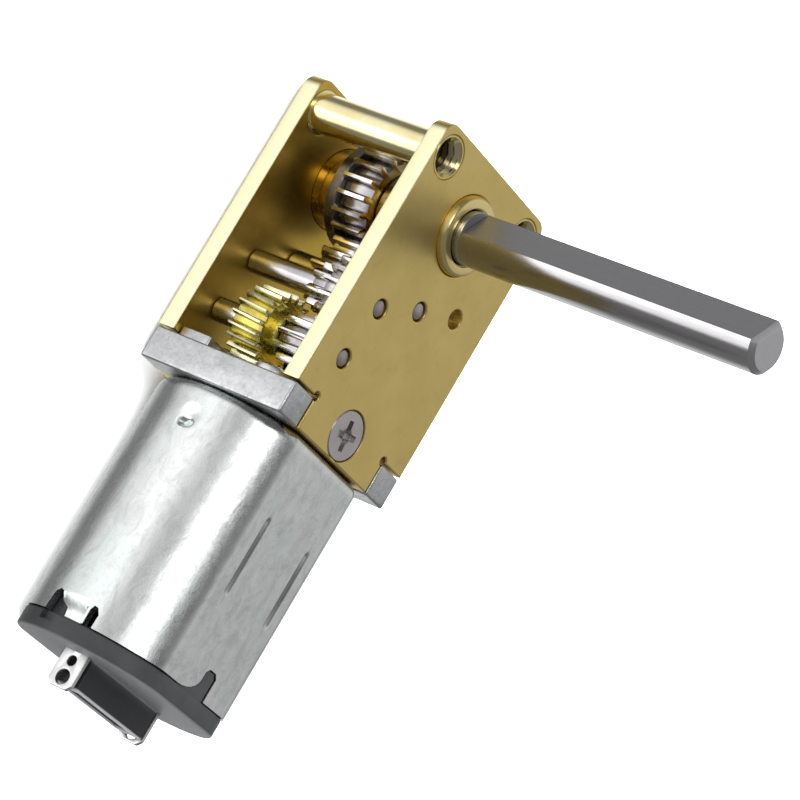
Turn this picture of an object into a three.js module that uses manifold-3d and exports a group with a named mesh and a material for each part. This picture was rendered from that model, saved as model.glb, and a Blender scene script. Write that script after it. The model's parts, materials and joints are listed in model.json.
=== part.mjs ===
// Miniature worm gearmotor: a flat-sided brushed DC motor on a zinc base, and a brass
// plate gearbox that turns its output shaft at right angles to the motor.
// Millimetres. X runs across the gearbox, Y from the motor to the gearbox, Z along the
// output shaft. The origin is midway between the two mounting threads, on the outer
// face of the front plate.

import * as THREE from 'three';
import { mergeVertices } from 'three/addons/utils/BufferGeometryUtils.js';
import Module from 'manifold-3d';

const wasm = await Module();
wasm.setup();

// ---------- driving dimensions ----------

// housing
const boxWidth = 12;
const boxDepth = 10;
const plateThickness = 1.1;
const plateTop = 18;
const plateCornerRadius = 0.9;
const baseHeight = 1.85;
const earWidth = 1.95;
const seamGap = 0.13;
const mountHalfSpacing = 4.6;
const mountHeight = 16.4;
const mountThreadRadius = 0.8;
const mountMouthRadius = 1.1;
const standoffRadius = 1.1;
const screwHeight = 1.57;

// output shaft
const outputHeight = 14.1;
const shaftRadius = 1.5;
const shaftFlatDistance = 1.0;
const shaftFlatAngle = 144.5;
const shaftFlatStart = 0.75;
const shaftLength = 20.1;
const shaftRearLength = 0.55;
const shaftChamfer = 0.3;

// gear train, from the worm to the output shaft
const wormModule = 0.2;
const wormWheelTeeth = 20;
const fineModule = 0.25;
const pinionTeeth = 9;
const gearTeeth = 18;
const outputModule = 0.3;
const outputPinionTeeth = 11;
const outputGearTeeth = 21;
const pressureAngle = THREE.MathUtils.degToRad(20);
const outputGearTurn = -4;
const axleRadius = 0.48;
const axleHoleRadius = 0.55;

// motor
const canRadius = 6;
const canFlatDistance = 5;
const canLength = 14.2;
const canWall = 0.5;
const capRimLength = 1.14;
const motorShaftRadius = 0.5;
const bearingRadius = 1.5;
const rearBearingRadius = 1.2;
const terminalPlace = 3.72;
const terminalTip = -17.4;

// clearances
const runningGap = 0.05;
const pressGap = 0.02;

// ---------- places worked out from them ----------

const halfWidth = boxWidth / 2;
const halfDepth = boxDepth / 2;
const plateInner = halfDepth - plateThickness;
const tongueHalfWidth = halfWidth - earWidth - seamGap;
const outputSpacing = centreDistance(outputModule, outputPinionTeeth, outputGearTeeth);
const fineSpacing = centreDistance(fineModule, pinionTeeth, gearTeeth);
const outputAxis = new THREE.Vector2(0, outputHeight);
const axleC = outputAxis.clone().add(polar(outputSpacing, 270));
const axleB = axleC.clone().add(polar(fineSpacing, 206));
const axleA = axleB.clone().add(polar(fineSpacing, 261.2));
const wormWheelRadius = wormModule * wormWheelTeeth / 2;
const wormPitchRadius = -axleA.x - wormWheelRadius;
const wormLead = Math.PI * wormModule;

// layers of the gear train along the output shaft
const wheelLayer = [-1.4, 0.65];
const outputLayer = [-1.6, 0.4];
const middleLayer = [0.9, 2.25];
const frontLayer = [2.45, 3.7];

// ---------- materials ----------

function metal(color, roughness) {
  return new THREE.MeshStandardMaterial({ color, roughness, metalness: 1 });
}

function dull(color, roughness) {
  return new THREE.MeshStandardMaterial({ color, roughness, metalness: 0 });
}

const look = {
  brass: () => metal(0xb9a05a, 0.35),
  zinc: () => metal(0xb4b4b2, 0.5),
  steel: () => metal(0x8f8f92, 0.28),
  plated: () => metal(0xc6c9c8, 0.3),
  tin: () => metal(0xd8d8d4, 0.35),
  bronze: () => metal(0x8a6a3c, 0.5),
  copper: () => metal(0xb5653a, 0.35),
  black: () => dull(0x1c1c1e, 0.45),
  magnet: () => dull(0x3a3a3d, 0.7),
};

// ---------- small helpers ----------

function centreDistance(module, teethOne, teethTwo) {
  return module * (teethOne + teethTwo) / 2;
}

function polar(radius, degrees) {
  const angle = THREE.MathUtils.degToRad(degrees);
  return new THREE.Vector2(radius * Math.cos(angle), radius * Math.sin(angle));
}

// A closed solid from a geometry: seams are merged, empty triangles are dropped, and the
// faces are turned outward if they were drawn the other way round.
function toSolid(geometry) {
  const bare = geometry.clone();
  bare.deleteAttribute('normal');
  bare.deleteAttribute('uv');
  const merged = mergeVertices(bare, 1e-5);
  const index = merged.index.array;
  const triangles = [];
  for (let corner = 0; corner < index.length; corner += 3) {
    const [a, b, c] = index.slice(corner, corner + 3);
    if (a !== b && b !== c && c !== a) triangles.push(a, b, c);
  }
  const build = (corners) => new wasm.Manifold(new wasm.Mesh({
    numProp: 3,
    vertProperties: new Float32Array(merged.attributes.position.array),
    triVerts: new Uint32Array(corners),
  }));
  const solid = build(triangles);
  return solid.volume() > 0 ? solid : build(triangles.toReversed());
}

function toGeometry(solid) {
  const mesh = solid.getMesh();
  const geometry = new THREE.BufferGeometry();
  geometry.setAttribute('position', new THREE.BufferAttribute(mesh.vertProperties, 3));
  geometry.setIndex(new THREE.BufferAttribute(mesh.triVerts, 1));
  geometry.computeVertexNormals();
  return geometry;
}

// A solid between two heights along Z, from an outline in X and Y.
function prismZ(outline, low, high, bevel = 0) {
  const geometry = new THREE.ExtrudeGeometry(outline, {
    depth: high - low - 2 * bevel,
    bevelEnabled: bevel > 0,
    bevelThickness: bevel,
    bevelSize: bevel,
    bevelOffset: -bevel,
    bevelSegments: 1,
    curveSegments: 4,
  });
  geometry.translate(0, 0, low + bevel);
  return toSolid(geometry);
}

// A solid between two heights along Y, from an outline in X and Z.
function prismY(outline, low, high, bevel = 0) {
  const geometry = new THREE.ExtrudeGeometry(outline, {
    depth: high - low - 2 * bevel,
    bevelEnabled: bevel > 0,
    bevelThickness: bevel,
    bevelSize: bevel,
    bevelOffset: -bevel,
    bevelSegments: 1,
    curveSegments: 10,
  });
  geometry.translate(0, 0, low + bevel);
  geometry.rotateX(-Math.PI / 2);
  return toSolid(geometry);
}

function block(x0, x1, y0, y1, z0, z1) {
  const geometry = new THREE.BoxGeometry(x1 - x0, y1 - y0, z1 - z0);
  geometry.translate((x0 + x1) / 2, (y0 + y1) / 2, (z0 + z1) / 2);
  return toSolid(geometry);
}

// A round solid along Z about a point, from [radius, z] pairs that start and end on the axis.
function turnedZ(profile, centre, segments = 24) {
  const points = profile.map(([radius, z]) => new THREE.Vector2(radius, z));
  const geometry = new THREE.LatheGeometry(points, segments);
  geometry.rotateX(Math.PI / 2);
  geometry.rotateZ(Math.PI / 2);
  geometry.translate(centre.x, centre.y, 0);
  return toSolid(geometry);
}

// A round solid along Y, from [radius, y] pairs that start and end on the axis.
function turnedY(profile, x, z, segments = 24) {
  const points = profile.map(([radius, y]) => new THREE.Vector2(radius, y));
  const geometry = new THREE.LatheGeometry(points, segments);
  geometry.translate(x, 0, z);
  return toSolid(geometry);
}

function rodZ(centre, radius, low, high, chamfer = 0, segments = 24) {
  return turnedZ([[0, low], [radius - chamfer, low], [radius, low + chamfer],
    [radius, high - chamfer], [radius - chamfer, high], [0, high]].filter(distinct), centre, segments);
}

function rodY(x, z, radius, low, high, chamfer = 0, segments = 24) {
  return turnedY([[0, low], [radius - chamfer, low], [radius, low + chamfer],
    [radius, high - chamfer], [radius - chamfer, high], [0, high]].filter(distinct), x, z, segments);
}

function distinct(point, index, list) {
  return index === 0 || point[0] !== list[index - 1][0] || point[1] !== list[index - 1][1];
}

const assembly = new THREE.Group();
assembly.position.set(0, -mountHeight, -halfDepth);

function part(name, solid, material) {
  const mesh = new THREE.Mesh(toGeometry(solid), material);
  mesh.name = name;
  assembly.add(mesh);
  return mesh;
}

// ---------- gears ----------

function involute(angle) {
  return Math.tan(angle) - angle;
}

// The outline of a spur gear about the origin, with one tooth centred at the given angle.
function gearOutline({ module, teeth, shift = 0, addendum = 0.85, thinning = 0.035, tooth = 0 }) {
  const pitch = module * teeth / 2;
  const base = pitch * Math.cos(pressureAngle);
  const tip = pitch + module * (addendum + shift);
  const root = pitch - module * (1.2 - shift);
  const halfAtPitch = (Math.PI / 2 + 2 * shift * Math.tan(pressureAngle)) / teeth - thinning / pitch;
  const halfAngle = (radius) => {
    const used = Math.max(radius, base);
    return halfAtPitch + involute(pressureAngle) - involute(Math.acos(base / used));
  };
  const flankRadii = [root, base, pitch, tip]
    .filter((radius, index, list) => radius >= root && (index === 0 || radius > list[index - 1] + 0.02));
  const at = (radius, angle) => new THREE.Vector2(radius * Math.cos(angle), radius * Math.sin(angle));
  const points = [];
  for (let index = 0; index < teeth; index += 1) {
    const centre = THREE.MathUtils.degToRad(tooth) + index * 2 * Math.PI / teeth;
    points.push(...flankRadii.map((radius) => at(radius, centre - halfAngle(radius))));
    points.push(...flankRadii.toReversed().map((radius) => at(radius, centre + halfAngle(radius))));
  }
  return new THREE.Shape(points);
}

function gear(centre, layer, boreRadius, form) {
  const body = prismZ(gearOutline(form), layer[0], layer[1]).translate([centre.x, centre.y, 0]);
  return body.subtract(rodZ(centre, boreRadius, layer[0] - 1, layer[1] + 1));
}

// The direction in degrees from one axis to another.
function bearing(from, to) {
  return THREE.MathUtils.radToDeg(Math.atan2(to.y - from.y, to.x - from.x));
}

// ---------- housing ----------

function plateOutline() {
  const outline = new THREE.Shape();
  const shoulder = baseHeight + seamGap;
  const relief = 0.28;
  const footGap = 0.05;
  const cornerX = halfWidth - plateCornerRadius;
  const cornerY = plateTop - plateCornerRadius;
  outline.moveTo(-halfWidth, shoulder);
  outline.lineTo(-tongueHalfWidth - relief, shoulder);
  outline.absarc(-tongueHalfWidth, shoulder, relief, Math.PI, -Math.PI / 2, true);
  outline.lineTo(-tongueHalfWidth, footGap);
  outline.lineTo(tongueHalfWidth, footGap);
  outline.lineTo(tongueHalfWidth, shoulder - relief);
  outline.absarc(tongueHalfWidth, shoulder, relief, -Math.PI / 2, 0, true);
  outline.lineTo(halfWidth, shoulder);
  outline.lineTo(halfWidth, cornerY);
  outline.absarc(cornerX, cornerY, plateCornerRadius, 0, Math.PI / 2);
  outline.lineTo(-cornerX, plateTop);
  outline.absarc(-cornerX, cornerY, plateCornerRadius, Math.PI / 2, Math.PI);
  outline.closePath();
  return outline;
}

const bushBodyRadius = 1.95;
const bushHeadRadius = 2.25;
const bushFaceRadius = 2.02;
const bushProud = 0.42;
const bushInnerLength = 0.9;
const standoffSpigotRadius = 1.3;
const spareAxle = new THREE.Vector2(-axleB.x, 10.47);
const plateBevel = 0.08;
const plateScrewHead = 1.42;
const plateScrewRadius = 0.8;
const plateScrewClearance = 0.1;
const plateScrewEnd = 2.35;
const seatLip = 0.13;
const seatDepth = 0.76;

// One side plate. side is 1 for the front and -1 for the back; spare adds the unused axle hole.
function sidePlate(side, spare) {
  const inner = side * plateInner;
  const outer = side * halfDepth;
  const low = Math.min(inner, outer);
  const high = Math.max(inner, outer);
  const through = (centre, radius, segments = 16) => rodZ(centre, radius, low - 1, high + 1, 0, segments);
  let plate = prismZ(plateOutline(), low, high, plateBevel);
  const axles = spare ? [axleA, axleB, axleC, spareAxle] : [axleA, axleB, axleC];
  axles.forEach((axle) => {
    plate = plate.subtract(through(axle, axleHoleRadius));
  });
  plate = plate.subtract(through(outputAxis, bushHeadRadius + pressGap, 32));
  [-1, 1].forEach((hand) => {
    const centre = new THREE.Vector2(hand * mountHalfSpacing, mountHeight);
    plate = plate.subtract(through(centre, standoffSpigotRadius + 2 * pressGap, 24));
  });
  const screwPlace = new THREE.Vector2(0, screwHeight);
  const holeRadius = plateScrewRadius + plateScrewClearance;
  const seatRadius = plateScrewHead + 2 * pressGap;
  const cone = turnedZ([[0, outer + side * 0.01], [seatRadius, outer + side * 0.01],
    [seatRadius, outer - side * seatLip], [holeRadius, outer - side * seatDepth],
    [0, outer - side * seatDepth]], screwPlace);
  return plate.subtract(through(screwPlace, holeRadius, 24)).subtract(cone);
}

function countersunkScrew(side) {
  const centre = new THREE.Vector2(0, screwHeight);
  const face = side * (halfDepth - 0.03);
  const headRadius = plateScrewHead - pressGap;
  const shankRadius = plateScrewRadius - 2 * pressGap;
  const rimDepth = 0.1;
  const headDepth = 0.68;
  const screw = turnedZ([[0, face], [headRadius, face], [headRadius, face - side * rimDepth],
    [shankRadius, face - side * headDepth], [shankRadius, side * plateScrewEnd],
    [0, side * plateScrewEnd]], centre);
  const slotDepth = 0.45;
  const slotHalfLength = 0.85;
  const slotHalfWidth = 0.14;
  const slot = (turn) => block(-slotHalfLength, slotHalfLength, -slotHalfWidth, slotHalfWidth,
    -slotDepth, slotDepth)
    .rotate([0, 0, turn])
    .translate([centre.x, centre.y, face]);
  return screw.subtract(slot(20)).subtract(slot(110));
}

const motorScrewPlaces = [new THREE.Vector2(-4.1, 2), new THREE.Vector2(4.1, -2)];
const motorScrewRadius = 0.6;
const motorScrewEnd = -0.85;
const collarRadius = 2;
const lugHalfWidth = 1.9;
const lugInner = 2.5;
const lugTop = 3.05;
const tappedEnd = 2.2;
const padTop = 2.45;

function gearboxBase() {
  const earInner = halfWidth - earWidth;
  const innerDepth = plateInner - 0.05;
  let base = block(-halfWidth, halfWidth, 0, baseHeight, -innerDepth, innerDepth);
  [-1, 1].forEach((xSide) => {
    [-1, 1].forEach((zSide) => {
      const x0 = Math.min(xSide * earInner, xSide * halfWidth);
      const earStart = innerDepth - 0.5;
      const z0 = Math.min(zSide * earStart, zSide * halfDepth);
      const ear = block(x0, x0 + earWidth, 0, baseHeight, z0, z0 + halfDepth - earStart);
      base = base.add(ear);
    });
  });
  [-1, 1].forEach((side) => {
    const z0 = Math.min(side * lugInner, side * innerDepth);
    const lug = block(-lugHalfWidth, lugHalfWidth, baseHeight - 0.1, lugTop, z0, z0 + innerDepth - lugInner);
    const tapped = rodZ(new THREE.Vector2(0, screwHeight), plateScrewRadius,
      Math.min(side * tappedEnd, side * halfDepth), Math.max(side * tappedEnd, side * halfDepth));
    base = base.add(lug).subtract(tapped);
  });
  // raised pad in the back corner
  base = base.add(block(-5.5, -3.3, baseHeight - 0.1, padTop, -innerDepth, -1.75));
  motorScrewPlaces.forEach((place) => {
    base = base.subtract(rodY(place.x, place.y, motorScrewRadius + 0.1, -1, 4, 0, 24));
  });
  return base.subtract(rodY(0, 0, collarRadius + 0.08, -1, 4, 0, 32));
}

function motorScrew(place) {
  const head = 1.15;
  const seat = baseHeight + pressGap;
  const sideTop = seat + 0.45;
  const domeTop = seat + 0.72;
  const screw = turnedY([[0, motorScrewEnd], [motorScrewRadius, motorScrewEnd], [motorScrewRadius, seat],
    [head, seat], [head, sideTop], [head - 0.2, domeTop - 0.04], [0, domeTop]], place.x, place.y, 24);
  const slotFloor = seat + 0.42;
  const slotHalfWidth = 0.13;
  const slot = block(-head - 0.1, head + 0.1, slotFloor, domeTop + 0.1, -slotHalfWidth, slotHalfWidth)
    .rotate([0, 35, 0])
    .translate([place.x, 0, place.y]);
  return screw.subtract(slot);
}

function standoff(hand) {
  const centre = new THREE.Vector2(hand * mountHalfSpacing, mountHeight);
  const face = halfDepth - pressGap;
  const body = turnedZ([[0, -face], [standoffSpigotRadius, -face], [standoffSpigotRadius, -plateInner],
    [standoffRadius, -plateInner], [standoffRadius, plateInner], [standoffSpigotRadius, plateInner],
    [standoffSpigotRadius, face], [0, face]], centre);
  const mouth = mountMouthRadius;
  const mouthDepth = mouth - mountThreadRadius;
  const bore = turnedZ([[0, -face - 0.1], [mouth, -face - 0.1], [mouth, -face],
    [mountThreadRadius, -face + mouthDepth], [mountThreadRadius, face - mouthDepth], [mouth, face],
    [mouth, face + 0.1], [0, face + 0.1]], centre);
  return body.subtract(bore);
}

function bush(side) {
  const outer = side * halfDepth;
  const inner = side * (plateInner - bushInnerLength);
  const proud = outer + side * bushProud;
  const body = turnedZ([[0, inner], [bushBodyRadius, inner], [bushBodyRadius, side * plateInner],
    [bushHeadRadius, side * plateInner], [bushHeadRadius, outer], [bushFaceRadius, proud], [0, proud]],
  outputAxis, 32);
  return body.subtract(rodZ(outputAxis, shaftRadius + runningGap, -9, 9, 0, 32));
}

part('front_plate', sidePlate(1, true), look.brass());
part('back_plate', sidePlate(-1, false), look.brass());
part('gearbox_base', gearboxBase(), look.zinc());
part('standoff_left', standoff(-1), look.brass());
part('standoff_right', standoff(1), look.brass());
part('front_plate_screw', countersunkScrew(1), look.steel());
part('back_plate_screw', countersunkScrew(-1), look.steel());
part('motor_screw_left', motorScrew(motorScrewPlaces[0]), look.steel());
part('motor_screw_right', motorScrew(motorScrewPlaces[1]), look.steel());
part('front_bush', bush(1), look.brass());
part('back_bush', bush(-1), look.brass());

// ---------- output shaft and gear train ----------

function outputShaft() {
  const tip = halfDepth + shaftLength;
  const rear = -halfDepth - shaftRearLength;
  const round = rodZ(outputAxis, shaftRadius, rear, tip, shaftChamfer, 32);
  const flat = block(shaftFlatDistance, 3, -3, 3, halfDepth + shaftFlatStart, tip + 1)
    .rotate([0, 0, shaftFlatAngle])
    .translate([outputAxis.x, outputAxis.y, 0]);
  return round.subtract(flat);
}

function spacer(centre, inner, outer, low, high) {
  return rodZ(centre, outer, low, high, 0, 24).subtract(rodZ(centre, inner, low - 1, high + 1, 0, 24));
}

part('output_shaft', outputShaft(), look.steel());
part('output_gear', gear(outputAxis, outputLayer, shaftRadius + pressGap, {
  module: outputModule,
  teeth: outputGearTeeth,
  shift: -0.3,
  addendum: 0.9,
  tooth: bearing(outputAxis, axleC) + outputGearTurn,
}), look.steel());
const endPlay = 0.1;
const layerGap = 0.03;
const spacerRadius = 2.1;
const flangeRadius = 3.1;
const flangeThickness = 0.67;
const bushInnerFace = plateInner - bushInnerLength;

part('output_spacer_front', spacer(outputAxis, shaftRadius + pressGap, spacerRadius,
  outputLayer[1] + layerGap, bushInnerFace - endPlay), look.brass());

// the back spacer carries a wide flange against the output gear
const flangeHigh = outputLayer[0] - layerGap;
part('output_spacer_back', turnedZ([[0, -bushInnerFace + endPlay], [spacerRadius, -bushInnerFace + endPlay],
  [spacerRadius, flangeHigh - flangeThickness], [flangeRadius, flangeHigh - flangeThickness],
  [flangeRadius, flangeHigh], [0, flangeHigh]], outputAxis, 32)
  .subtract(rodZ(outputAxis, shaftRadius + pressGap, -halfDepth, halfDepth, 0, 32)), look.steel());

function axle(centre) {
  const backInset = 0.1;
  const frontInset = 0.06;
  return rodZ(centre, axleRadius, -halfDepth + backInset, halfDepth - frontInset, 0.14, 24);
}

const boreRadius = axleRadius + pressGap;
const sleeveRadius = 0.68;
const wideSleeveRadius = 0.8;
const sleeveBack = -plateInner + 0.05;
const finePinion = { module: fineModule, teeth: pinionTeeth, shift: 0.35, addendum: 0.75 };
const fineGear = { module: fineModule, teeth: gearTeeth, shift: -0.35, addendum: 0.9 };

part('axle_c', axle(axleC), look.steel());
part('pinion_c', gear(axleC, outputLayer, boreRadius, {
  module: outputModule,
  teeth: outputPinionTeeth,
  shift: 0.3,
  addendum: 0.8,
  tooth: bearing(axleC, outputAxis) + 180 / outputPinionTeeth
    - outputGearTurn * outputGearTeeth / outputPinionTeeth,
}), look.steel());
part('gear_c', gear(axleC, middleLayer, boreRadius, {
  ...fineGear,
  tooth: bearing(axleC, axleB),
}), look.steel());
part('spacer_c', spacer(axleC, boreRadius, wideSleeveRadius, sleeveBack, outputLayer[0] - layerGap),
  look.steel());

part('axle_b', axle(axleB), look.steel());
part('pinion_b', gear(axleB, middleLayer, boreRadius, {
  ...finePinion,
  tooth: bearing(axleB, axleC) + 180 / pinionTeeth,
}), look.steel());
part('gear_b', gear(axleB, frontLayer, boreRadius, {
  ...fineGear,
  tooth: bearing(axleB, axleA),
}), look.steel());
part('spacer_b', spacer(axleB, boreRadius, sleeveRadius, sleeveBack, middleLayer[0] - layerGap),
  look.steel());

// The worm wheel's teeth lean with the worm's thread, by this turn per millimetre.
const wheelTwist = wormLead / (2 * Math.PI * wormPitchRadius) / wormWheelRadius;
const wheelHubRadius = 1.2;
const wheelHubEnd = wheelLayer[1] + 0.5;

function wormWheel() {
  const outline = gearOutline({
    module: wormModule,
    teeth: wormWheelTeeth,
    addendum: 0.85,
    thinning: 0.03,
    tooth: 180 / wormWheelTeeth,
  });
  const geometry = new THREE.ExtrudeGeometry(outline, {
    depth: wheelLayer[1] - wheelLayer[0],
    bevelEnabled: false,
    steps: 2,
  });
  geometry.translate(0, 0, wheelLayer[0]);
  const position = geometry.attributes.position;
  const point = new THREE.Vector3();
  const up = new THREE.Vector3(0, 0, 1);
  for (let index = 0; index < position.count; index += 1) {
    point.fromBufferAttribute(position, index);
    point.applyAxisAngle(up, point.z * wheelTwist);
    position.setXYZ(index, point.x, point.y, point.z);
  }
  const hub = rodZ(new THREE.Vector2(), wheelHubRadius, wheelLayer[1] - 0.2, wheelHubEnd, 0, 24);
  const wheel = toSolid(geometry).add(hub).translate([axleA.x, axleA.y, 0]);
  return wheel.subtract(rodZ(axleA, boreRadius, -5, 5));
}

part('axle_a', axle(axleA), look.steel());
part('worm_wheel', wormWheel(), look.brass());
part('pinion_a', gear(axleA, [wheelHubEnd + runningGap, frontLayer[1]], boreRadius, {
  ...finePinion,
  tooth: bearing(axleA, axleB) + 180 / pinionTeeth,
}), look.steel());
part('spacer_a', spacer(axleA, boreRadius, sleeveRadius, sleeveBack, wheelLayer[0] - layerGap),
  look.steel());

// ---------- worm and rotor ----------

const wormCoreRadius = 1.3;
const wormLow = 2.35;
const wormHigh = 6.45;
const wormBoreRadius = motorShaftRadius + pressGap;

// A right-hand thread about the Y axis, whose turn at the worm wheel lines up with a tooth gap.
function wormThread() {
  const perTurn = 16;
  const turns = Math.floor((wormHigh - wormLow - wormLead) / wormLead);
  const count = turns * perTurn;
  const start = axleA.y - turns / 2 * wormLead;
  const inner = wormCoreRadius - 0.15;
  const outer = wormPitchRadius + 0.85 * wormModule;
  const slope = Math.tan(pressureAngle);
  const halfAtPitch = wormLead / 4 - 0.03;
  const vertices = [];
  const triangles = [];
  for (let step = 0; step <= count; step += 1) {
    const angle = -Math.PI / 2 + (step - count / 2) * 2 * Math.PI / perTurn;
    const middle = start + step * wormLead / perTurn;
    const ending = Math.min(1, Math.min(step, count - step) / 5);
    const crest = THREE.MathUtils.lerp(wormCoreRadius + 0.02, outer, ending);
    [[inner, 1], [crest, 1], [crest, -1], [inner, -1]].forEach(([radius, hand]) => {
      const half = halfAtPitch - (radius - wormPitchRadius) * slope;
      vertices.push(radius * Math.sin(angle), middle + hand * half, radius * Math.cos(angle));
    });
  }
  for (let step = 0; step < count; step += 1) {
    for (let corner = 0; corner < 4; corner += 1) {
      const a = step * 4 + corner;
      const b = step * 4 + (corner + 1) % 4;
      triangles.push(a, b, a + 4, b, b + 4, a + 4);
    }
  }
  const last = count * 4;
  triangles.push(0, 2, 1, 0, 3, 2);
  triangles.push(last, last + 1, last + 2, last, last + 2, last + 3);
  const geometry = new THREE.BufferGeometry();
  geometry.setAttribute('position', new THREE.Float32BufferAttribute(vertices, 3));
  geometry.setIndex(triangles);
  return toSolid(geometry);
}

function worm() {
  const core = rodY(0, 0, wormCoreRadius, wormLow, wormHigh, 0.1, 20);
  return core.add(wormThread()).subtract(rodY(0, 0, wormBoreRadius, 0, 9, 0, 20));
}

const shaftRearEnd = -14.95;

function motorShaft() {
  return rodY(0, 0, motorShaftRadius, shaftRearEnd, wormHigh + 0.1, 0.08, 20);
}

const poleCount = 3;
const coreRadius = 3.85;
const coreLow = -10;
const coreHigh = -3.6;

function rotorCore() {
  const hubRadius = 1.25;
  const shoeInner = 3.15;
  let core = rodY(0, 0, hubRadius, coreLow, coreHigh, 0, 24);
  const shoe = new THREE.Shape();
  const half = THREE.MathUtils.degToRad(50);
  shoe.absarc(0, 0, coreRadius, -half, half);
  shoe.absarc(0, 0, shoeInner, half, -half, true);
  shoe.closePath();
  for (let pole = 0; pole < poleCount; pole += 1) {
    const turn = pole * 360 / poleCount;
    const neck = block(hubRadius - 0.3, shoeInner + 0.2, coreLow, coreHigh, -0.55, 0.55);
    const limb = neck.add(prismY(shoe, coreLow, coreHigh));
    core = core.add(limb.rotate([0, turn, 0]));
  }
  return core.subtract(rodY(0, 0, motorShaftRadius + pressGap, -20, 9, 0, 20));
}

function winding(pole) {
  const inner = 1.55;
  const outer = 2.75;
  const overhang = 0.85;
  const coil = block(inner, outer, coreLow - overhang, coreHigh + overhang, -1.3, 1.3);
  const opening = block(0, 5, coreLow - 0.05, coreHigh + 0.05, -0.6, 0.6);
  return coil.subtract(opening).rotate([0, pole * 360 / poleCount, 0]);
}

const commutatorRadius = 1.3;
const commutatorLow = -13.4;
const commutatorHigh = -11.4;

function commutator() {
  const barrel = rodY(0, 0, commutatorRadius, commutatorLow, commutatorHigh, 0, 24)
    .add(rodY(0, 0, 1.05, commutatorLow, commutatorHigh + 0.45, 0, 24));
  let cut = barrel.subtract(rodY(0, 0, motorShaftRadius + pressGap, -20, 9, 0, 20));
  const slitFloor = 1.1;
  const slit = block(slitFloor, 2, commutatorLow - 1, commutatorHigh + 0.1, -0.1, 0.1);
  for (let pole = 0; pole < poleCount; pole += 1) {
    cut = cut.subtract(slit.rotate([0, (pole + 0.5) * 360 / poleCount, 0]));
  }
  return cut;
}

part('worm', worm(), look.steel());
part('motor_shaft', motorShaft(), look.steel());
part('rotor_core', rotorCore(), look.steel());
for (let pole = 0; pole < poleCount; pole += 1) {
  part(`winding_${pole + 1}`, winding(pole), look.copper());
}
part('commutator', commutator(), look.copper());

// ---------- motor casing ----------

// The can's cross-section: a circle with two flats, drawn inset by a margin.
function canOutline(inset) {
  const radius = canRadius - inset;
  const flat = canFlatDistance - inset;
  const corner = Math.asin(flat / radius);
  const outline = new THREE.Shape();
  outline.absarc(0, 0, radius, -corner, corner);
  outline.absarc(0, 0, radius, Math.PI - corner, Math.PI + corner);
  outline.closePath();
  return outline;
}

const collarTop = 1.3;
const canFrontBevel = 0.5;
const notchTop = -12.95;
const keyTop = -12.6;
const dimpleRadius = 0.75;

function motorCan() {
  const rear = -canLength;
  const outside = prismY(canOutline(0), rear - 2, 0, canFrontBevel);
  const inside = prismY(canOutline(canWall), rear - 3, -canWall, 0.3);
  const cutBack = block(-9, 9, rear - 9, rear, -9, 9);
  let can = outside.add(rodY(0, 0, collarRadius, -1, collarTop, 0.15, 32))
    .subtract(inside)
    .subtract(cutBack);
  can = can.add(rodY(0, 0, collarRadius, -1.2, -canWall + 0.1, 0, 32));
  can = can.subtract(rodY(0, 0, bearingRadius + pressGap, -5, 5, 0, 32));
  motorScrewPlaces.forEach((place) => {
    can = can.subtract(rodY(place.x, place.y, motorScrewRadius + 0.06, -1, 1, 0, 24));
  });
  // crimp notches on the two curved sides, each leaving a tab between two slits
  [-1, 1].forEach((side) => {
    const x0 = side > 0 ? 4.5 : -7;
    const notch = (place, half, top) => block(x0, x0 + 2.5, rear - 1, top, side * place - half,
      side * place + half);
    can = can.subtract(notch(-1.25, 0.6, notchTop)).subtract(notch(1.2, 0.25, notchTop - 0.1));
  });
  // keyed slots in the two flats
  [-1, 1].forEach((side) => {
    const z0 = side > 0 ? 4 : -6;
    can = can.subtract(block(side * 0.45 - 0.6, side * 0.45 + 0.6, rear - 1, keyTop, z0, z0 + 2));
  });
  // pressed dimple behind the front edge
  const dimple = new THREE.SphereGeometry(dimpleRadius, 12, 8);
  dimple.translate(-canRadius - 0.5, -2.2, 0);
  return can.subtract(toSolid(dimple));
}

const bossTop = -17.1;
const bossHalfLength = 3.4;
const bossHalfWidth = 0.95;
const brushHalfGap = commutatorRadius + 0.04;
const brushThickness = 0.2;
const brushOffset = 3.6;

function endCap() {
  const rimTop = -canLength - 0.04;
  const rimBottom = -canLength - capRimLength;
  const plugTop = -canLength + 1.1;
  const plugHollow = prismY(canOutline(canWall + 0.9), rimTop + 0.05, plugTop + 1);
  let cap = prismY(canOutline(0.04), rimBottom, rimTop, 0.1);
  const plug = prismY(canOutline(canWall + 0.06), rimTop - 0.3, plugTop);
  cap = cap.add(plug.subtract(plugHollow));
  cap = cap.add(block(-bossHalfLength, bossHalfLength, bossTop, rimTop - 0.2, -bossHalfWidth, bossHalfWidth));
  cap = cap.subtract(block(-2.2, 2.2, bossTop - 1, bossTop + 0.35, -0.2, 0.2));
  cap = cap.subtract(rodY(0, 0, rearBearingRadius + pressGap, shaftRearEnd - 0.1, plugTop + 1, 0, 24));
  // slots that the terminals and brushes pass through
  [-1, 1].forEach((side) => {
    const x = side * terminalPlace;
    cap = cap.subtract(block(x - 0.17, x + 0.17, rimBottom - 1, rimTop + 2, -0.9, 0.9));
  });
  return cap;
}

function ringY(inner, outer, low, high) {
  return rodY(0, 0, outer, low, high, 0, 32).subtract(rodY(0, 0, inner, low - 1, high + 1, 0, 32));
}

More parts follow.
